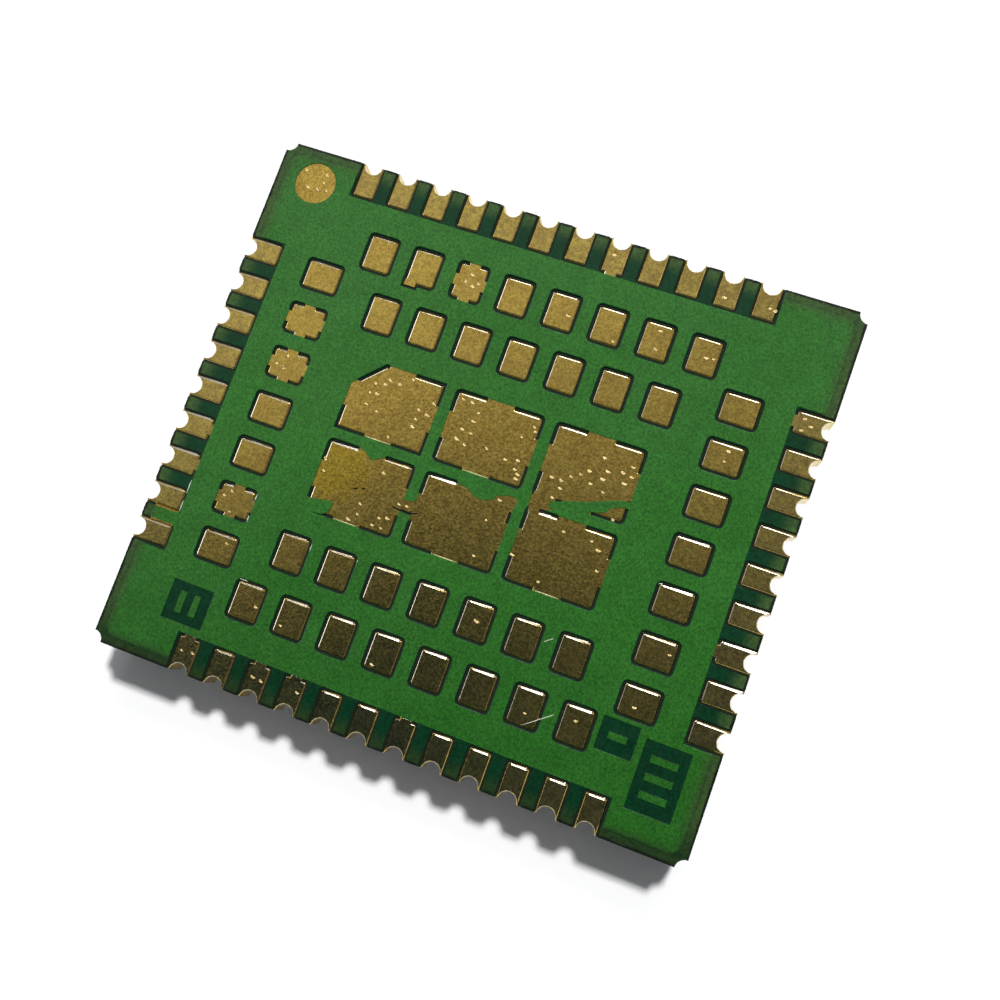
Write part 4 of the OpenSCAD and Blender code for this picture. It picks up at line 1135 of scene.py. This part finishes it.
@dataclass
class ComponentSide:
    """The side under the shield: its mask, its pads and the packages soldered to them."""

    bench: Workbench
    package_round: float = 0.02
    round_steps: int = 2
    sharp_angle: float = 40.0

    INNER_RIM = tone(56, 80, 46)
    # Keeps the mask's defaults, so it also has the painted shade towards the south and the painted shade
    # line along the edges.
    INNER_MASK = MaskFinish(
        "inner_mask_green",
        over_copper=tone(52, 104, 58),
        over_copper_far=tone(48, 106, 46),
        over_laminate=tone(40, 96, 52),
        rim=INNER_RIM,
        step_low=1.2,
        step_high=1.3,
        rim_south=INNER_RIM,
    )
    BOARD = tone(38, 84, 50)
    SUBSTRATE = MaskFinish("package_board", BOARD, tone(34, 80, 42), BOARD, BOARD, 0.2, 0.3, BOARD)
    GOLD = GoldFinish("pad_gold", tone(224, 184, 100), tone(180, 140, 80), 0.1)
    LIDS = SheetFinish("package_lid_metal", tone(204, 202, 196), tone(176, 170, 158), Grain.ALONG_X, 0.22)

    FINISHES: ClassVar[dict[str, Finish]] = {
        "component_mask": INNER_MASK,
        "component_copper": GOLD,
        "gold_pads": GOLD,
        "solder": SolderFinish("tin_solder", tone(206, 208, 212), tone(150, 152, 158)),
        "package_substrate": SUBSTRATE,
        "mould": MouldFinish("black_mould", tone(30, 30, 32), tone(70, 70, 74), 0.25, 0.55),
        "ferrite": MouldFinish("dark_ferrite", tone(54, 50, 48), tone(96, 92, 88), 0.35, 0.5),
        "white_ceramic": MouldFinish("white_ceramic", tone(226, 222, 208), tone(200, 194, 178), 0.2, 0.42),
        "tan_ceramic": MouldFinish("tan_ceramic", tone(170, 138, 100), tone(140, 110, 78), 0.25, 0.4),
        "metal_lid": LIDS,
    }
    SOFTENED = ("mould", "ferrite", "white_ceramic", "tan_ceramic", "metal_lid", "package_substrate")

    def build(self, slots: dict[str, str]) -> None:
        """Dresses the nodes of this side by the record's material slots.

        Args:
            slots: Material slot of each CAD node.
        """
        made: dict[str, bpy.types.Material] = {}
        for node, slot in sorted(slots.items()):
            if slot not in self.FINISHES:
                continue
            finish = self.FINISHES[slot]
            if finish.name not in made:
                made[finish.name] = finish.make()
            self.bench.keep(node, made[finish.name])
            if slot in self.SOFTENED:
                self._soften(self.bench.nodes[node])

    def _soften(self, body: bpy.types.Object) -> None:
        """Rounds the edges of a package with modifiers that stay on it."""
        weld = body.modifiers.new("joined_faces", "WELD")
        weld.merge_threshold = MERGE
        bevel = body.modifiers.new("rounded_edges", "BEVEL")
        bevel.width = self.package_round * MM
        bevel.segments = self.round_steps
        bevel.limit_method = "ANGLE"
        bevel.angle_limit = math.radians(self.sharp_angle)


@dataclass
class Lamp:
    """Soft rectangular lamp that faces the module.

    A lamp that isn't mirrored lights matt surfaces only. One that isn't spread shows in mirrors only.
    """

    name: str
    azimuth: float
    elevation: float
    width: float
    height: float
    level: float
    mirrored: bool = True
    spread: bool = True
    distance: float = 1280.0

    def make(self) -> bpy.types.Object:
        """Places the lamp. Its level is how bright it makes a white surface that faces it.

        Returns:
            The lamp.
        """
        a, e = math.radians(self.azimuth), math.radians(self.elevation)
        way = Vector((math.cos(a) * math.cos(e), math.sin(a) * math.cos(e), math.sin(e)))
        data = bpy.data.lights.new(self.name, "AREA")
        data.shape = "RECTANGLE"
        data.size, data.size_y = self.width * MM, self.height * MM
        data.energy = self.level * math.pi**2 * (self.distance * MM) ** 2
        lamp = bpy.data.objects.new(self.name, data)
        lamp.location = way * self.distance * MM
        lamp.visible_glossy = self.mirrored
        lamp.visible_diffuse = self.spread
        lamp.rotation_mode = "QUATERNION"
        lamp.rotation_quaternion = way.to_track_quat("Z", "Y")
        bpy.context.scene.collection.objects.link(lamp)
        LOG.info("lamp %s", self.name)
        return lamp


@dataclass
class Studio:
    """Floor, soft surroundings, lamps and the camera at the photograph's angle."""

    eye: Tone = (5.987, -3.435, 32.81)
    turn: Tone = (8.707, 6.897, 20.087)
    lens: float = 40.38
    sensor: float = 36.0
    clip: tuple[float, float] = (1.0, 10000.0)
    floor_half: float = 600.0
    floor_colour: Tone = (0.97, 0.97, 0.97)
    floor_roughness: float = 0.8
    lid_fold: float = 0.3
    bright_side: Tone = (-0.4, 0.92, 0.0)
    top_colour: Tone = (0.012, 0.03, 0.07)
    side_colour: Tone = (0.58, 0.57, 0.54)
    far_colour: Tone = (0.11, 0.11, 0.11)
    near_colour: Tone = (0.36, 0.36, 0.36)
    horizon_colour: Tone = (0.86, 0.86, 0.86)
    far_light: Tone = (0.03, 0.03, 0.03)
    near_light: Tone = (0.12, 0.12, 0.12)

    # Ramps of the sky over one component of a direction: from, to, and the results there
    WINDOW = (0.03, 0.25, 0.0, 0.46)
    EAST_HALF = (-0.2, -0.04, 0.0, 0.075)
    WEST_STEP = (-0.24, -0.34, 0.0, 0.38)
    WEST_RISE = (-0.34, -1.0, 0.0, 1.6)
    WEST_NORTH = (-0.1, 0.0)
    CORNER_WEST = (0.0, -1.0, 0.0, 9.5)
    CORNER_NORTH = (0.05, 1.05)
    LIMIT = (0.0, 0.92, 0.0, 0.92)
    TOWARDS = (-0.6, 0.6)
    SIDES = (0.62, 0.86, 1.0, 0.0)
    HORIZON = (0.22, 0.34, 1.0, 0.0)

    LAMPS = (
        Lamp("key_softbox", 76.0, 61.0, 112.0, 112.0, 1.0, False),
        Lamp("window_pane", 90.0, 48.0, 600.0, 168.0, 0.13),
        Lamp("south_fill", -75.0, 4.0, 800.0, 120.0, 0.24, False),
        Lamp("west_fill", 190.0, 4.0, 800.0, 120.0, 0.2, False),
        Lamp("west_pane", 173.0, 32.0, 800.0, 240.0, 0.09, spread=False),
        Lamp("corner_pane", 141.5, 29.0, 260.0, 180.0, 0.022, spread=False),
    )

    def build(self) -> None:
        """Makes the studio."""
        self._camera()
        self._surroundings()
        for lamp in self.LAMPS:
            lamp.make()
        self._floor()
        bpy.context.scene.view_settings.view_transform = "Standard"

    def _camera(self) -> None:
        """Places the camera."""
        data = bpy.data.cameras.new("camera")
        data.lens = self.lens
        data.sensor_width = self.sensor
        data.clip_start, data.clip_end = [distance * MM for distance in self.clip]
        camera = bpy.data.objects.new("camera", data)
        camera.location = Vector(self.eye) * MM
        camera.rotation_euler = Euler([math.radians(a) for a in self.turn])
        bpy.context.scene.collection.objects.link(camera)
        bpy.context.scene.camera = camera

    def _surroundings(self) -> None:
        """Makes the world: pale round the horizon, dark and bluish overhead, lighter towards the window."""
        world = bpy.data.worlds.new("surroundings")
        bpy.context.scene.world = world
        world.use_nodes = True
        sky = Nodes(world.node_tree)
        way = sky.tree.nodes.new("ShaderNodeTexCoord").outputs["Generated"]
        rays = sky.tree.nodes.new("ShaderNodeLightPath").outputs
        height = sky.split(way)["Z"]
        seen = sky.math("MAXIMUM", rays["Is Camera Ray"], rays["Is Glossy Ray"])
        seen = sky.math("MAXIMUM", seen, rays["Is Transmission Ray"])
        towards = sky.ramp(sky.vector("DOT_PRODUCT", way, self.bright_side), *self.TOWARDS)
        sides = sky.mix(
            seen,
            sky.mix(towards, self.far_light, self.near_light),
            sky.mix(towards, self.far_colour, self.near_colour),
        )
        overhead = sky.mix(self._brightness(sky, way), self.top_colour, self.side_colour)
        colour = sky.mix(sky.ramp(height, *self.SIDES), overhead, sides)
        pale = sky.math("MULTIPLY", seen, sky.ramp(height, *self.HORIZON))
        background = sky.tree.nodes["Background"]
        sky.join(sky.mix(pale, colour, self.horizon_colour), background.inputs["Color"])
        background.inputs["Strength"].default_value = 1.0

    def _brightness(self, sky: Nodes, way: Socket) -> Socket:
        """Works out how bright the sky overhead is: towards the window, the west and the corner between.

        Args:
            sky: Nodes of the world.
            way: Direction that is looked in.

        Returns:
            The share of the bright colour.
        """
        parts = sky.split(way)
        east, north = parts["X"], parts["Y"]
        window = sky.math("ADD", sky.ramp(north, *self.WINDOW), sky.ramp(east, *self.EAST_HALF))
        west = sky.math("ADD", sky.ramp(east, *self.WEST_STEP), sky.ramp(east, *self.WEST_RISE))
        west = sky.math("MULTIPLY", west, sky.ramp(north, *self.WEST_NORTH))
        corner = sky.ramp(east, *self.CORNER_WEST)
        corner = sky.math("MULTIPLY", corner, sky.ramp(north, *self.CORNER_NORTH))
        return sky.ramp(sky.math("ADD", sky.math("ADD", window, west), corner), *self.LIMIT)

    def _floor(self) -> None:
        """Makes the floor, which keeps the module's shadow and has a hole under the flat of the lid."""
        bpy.ops.object.select_all(action="DESELECT")
        bpy.ops.mesh.primitive_plane_add(size=2 * self.floor_half * MM)
        floor = bpy.context.object
        floor.name = "floor"
        low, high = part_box("shield_lid")
        inset = self.lid_fold * MM
        bpy.ops.object.mode_set(mode="EDIT")
        for axis, way in enumerate(((1, 0, 0), (0, 1, 0))):
            for border in (low[axis] + inset, high[axis] - inset):
                bpy.ops.mesh.select_all(action="SELECT")
                bpy.ops.mesh.bisect(plane_co=Vector(way) * border, plane_no=way, threshold=CUT)
        bpy.ops.mesh.select_all(action="DESELECT")
        shape = bmesh.from_edit_mesh(floor.data)
        for face in shape.faces:
            x, y, _ = face.calc_center_median()
            face.select_set(low[0] < x < high[0] and low[1] < y < high[1])
        bmesh.update_edit_mesh(floor.data)
        bpy.ops.mesh.delete(type="FACE")
        bpy.ops.object.mode_set(mode="OBJECT")
        floor.data.materials.append(self._floor_material())

    def _floor_material(self) -> bpy.types.Material:
        """Makes the pale material of the floor, which is clear from beneath.

        Returns:
            The material.
        """
        material = bpy.data.materials.new("pale_floor")
        material.use_nodes = True
        tree = material.node_tree
        shader = tree.nodes["Principled BSDF"]
        shader.inputs["Base Color"].default_value = (*self.floor_colour, 1.0)
        shader.inputs["Roughness"].default_value = self.floor_roughness
        clear = tree.nodes.new("ShaderNodeBsdfTransparent")
        sides = tree.nodes.new("ShaderNodeMixShader")
        beneath = tree.nodes.new("ShaderNodeNewGeometry").outputs["Backfacing"]
        for output, socket in zip((beneath, shader.outputs["BSDF"], clear.outputs["BSDF"]), sides.inputs):
            tree.links.new(output, socket)
        tree.links.new(sides.outputs["Shader"], tree.nodes["Material Output"].inputs["Surface"])
        return material


def main() -> None:
    """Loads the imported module, dresses it and sets up the studio."""
    logging.basicConfig(level=logging.INFO, format="%(name)s: %(message)s")
    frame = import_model()
    bench = Workbench(frame["nodes"])
    slots = {part["node"]: part["material_slot"] for part in frame["record"]["subparts"]}
    Studio().build()
    LandSide(bench).build()
    WearMarksAndGlints(bench).build()
    ShieldCan(bench).build()
    ComponentSide(bench).build(slots)


if __name__ == "__main__":
    main()
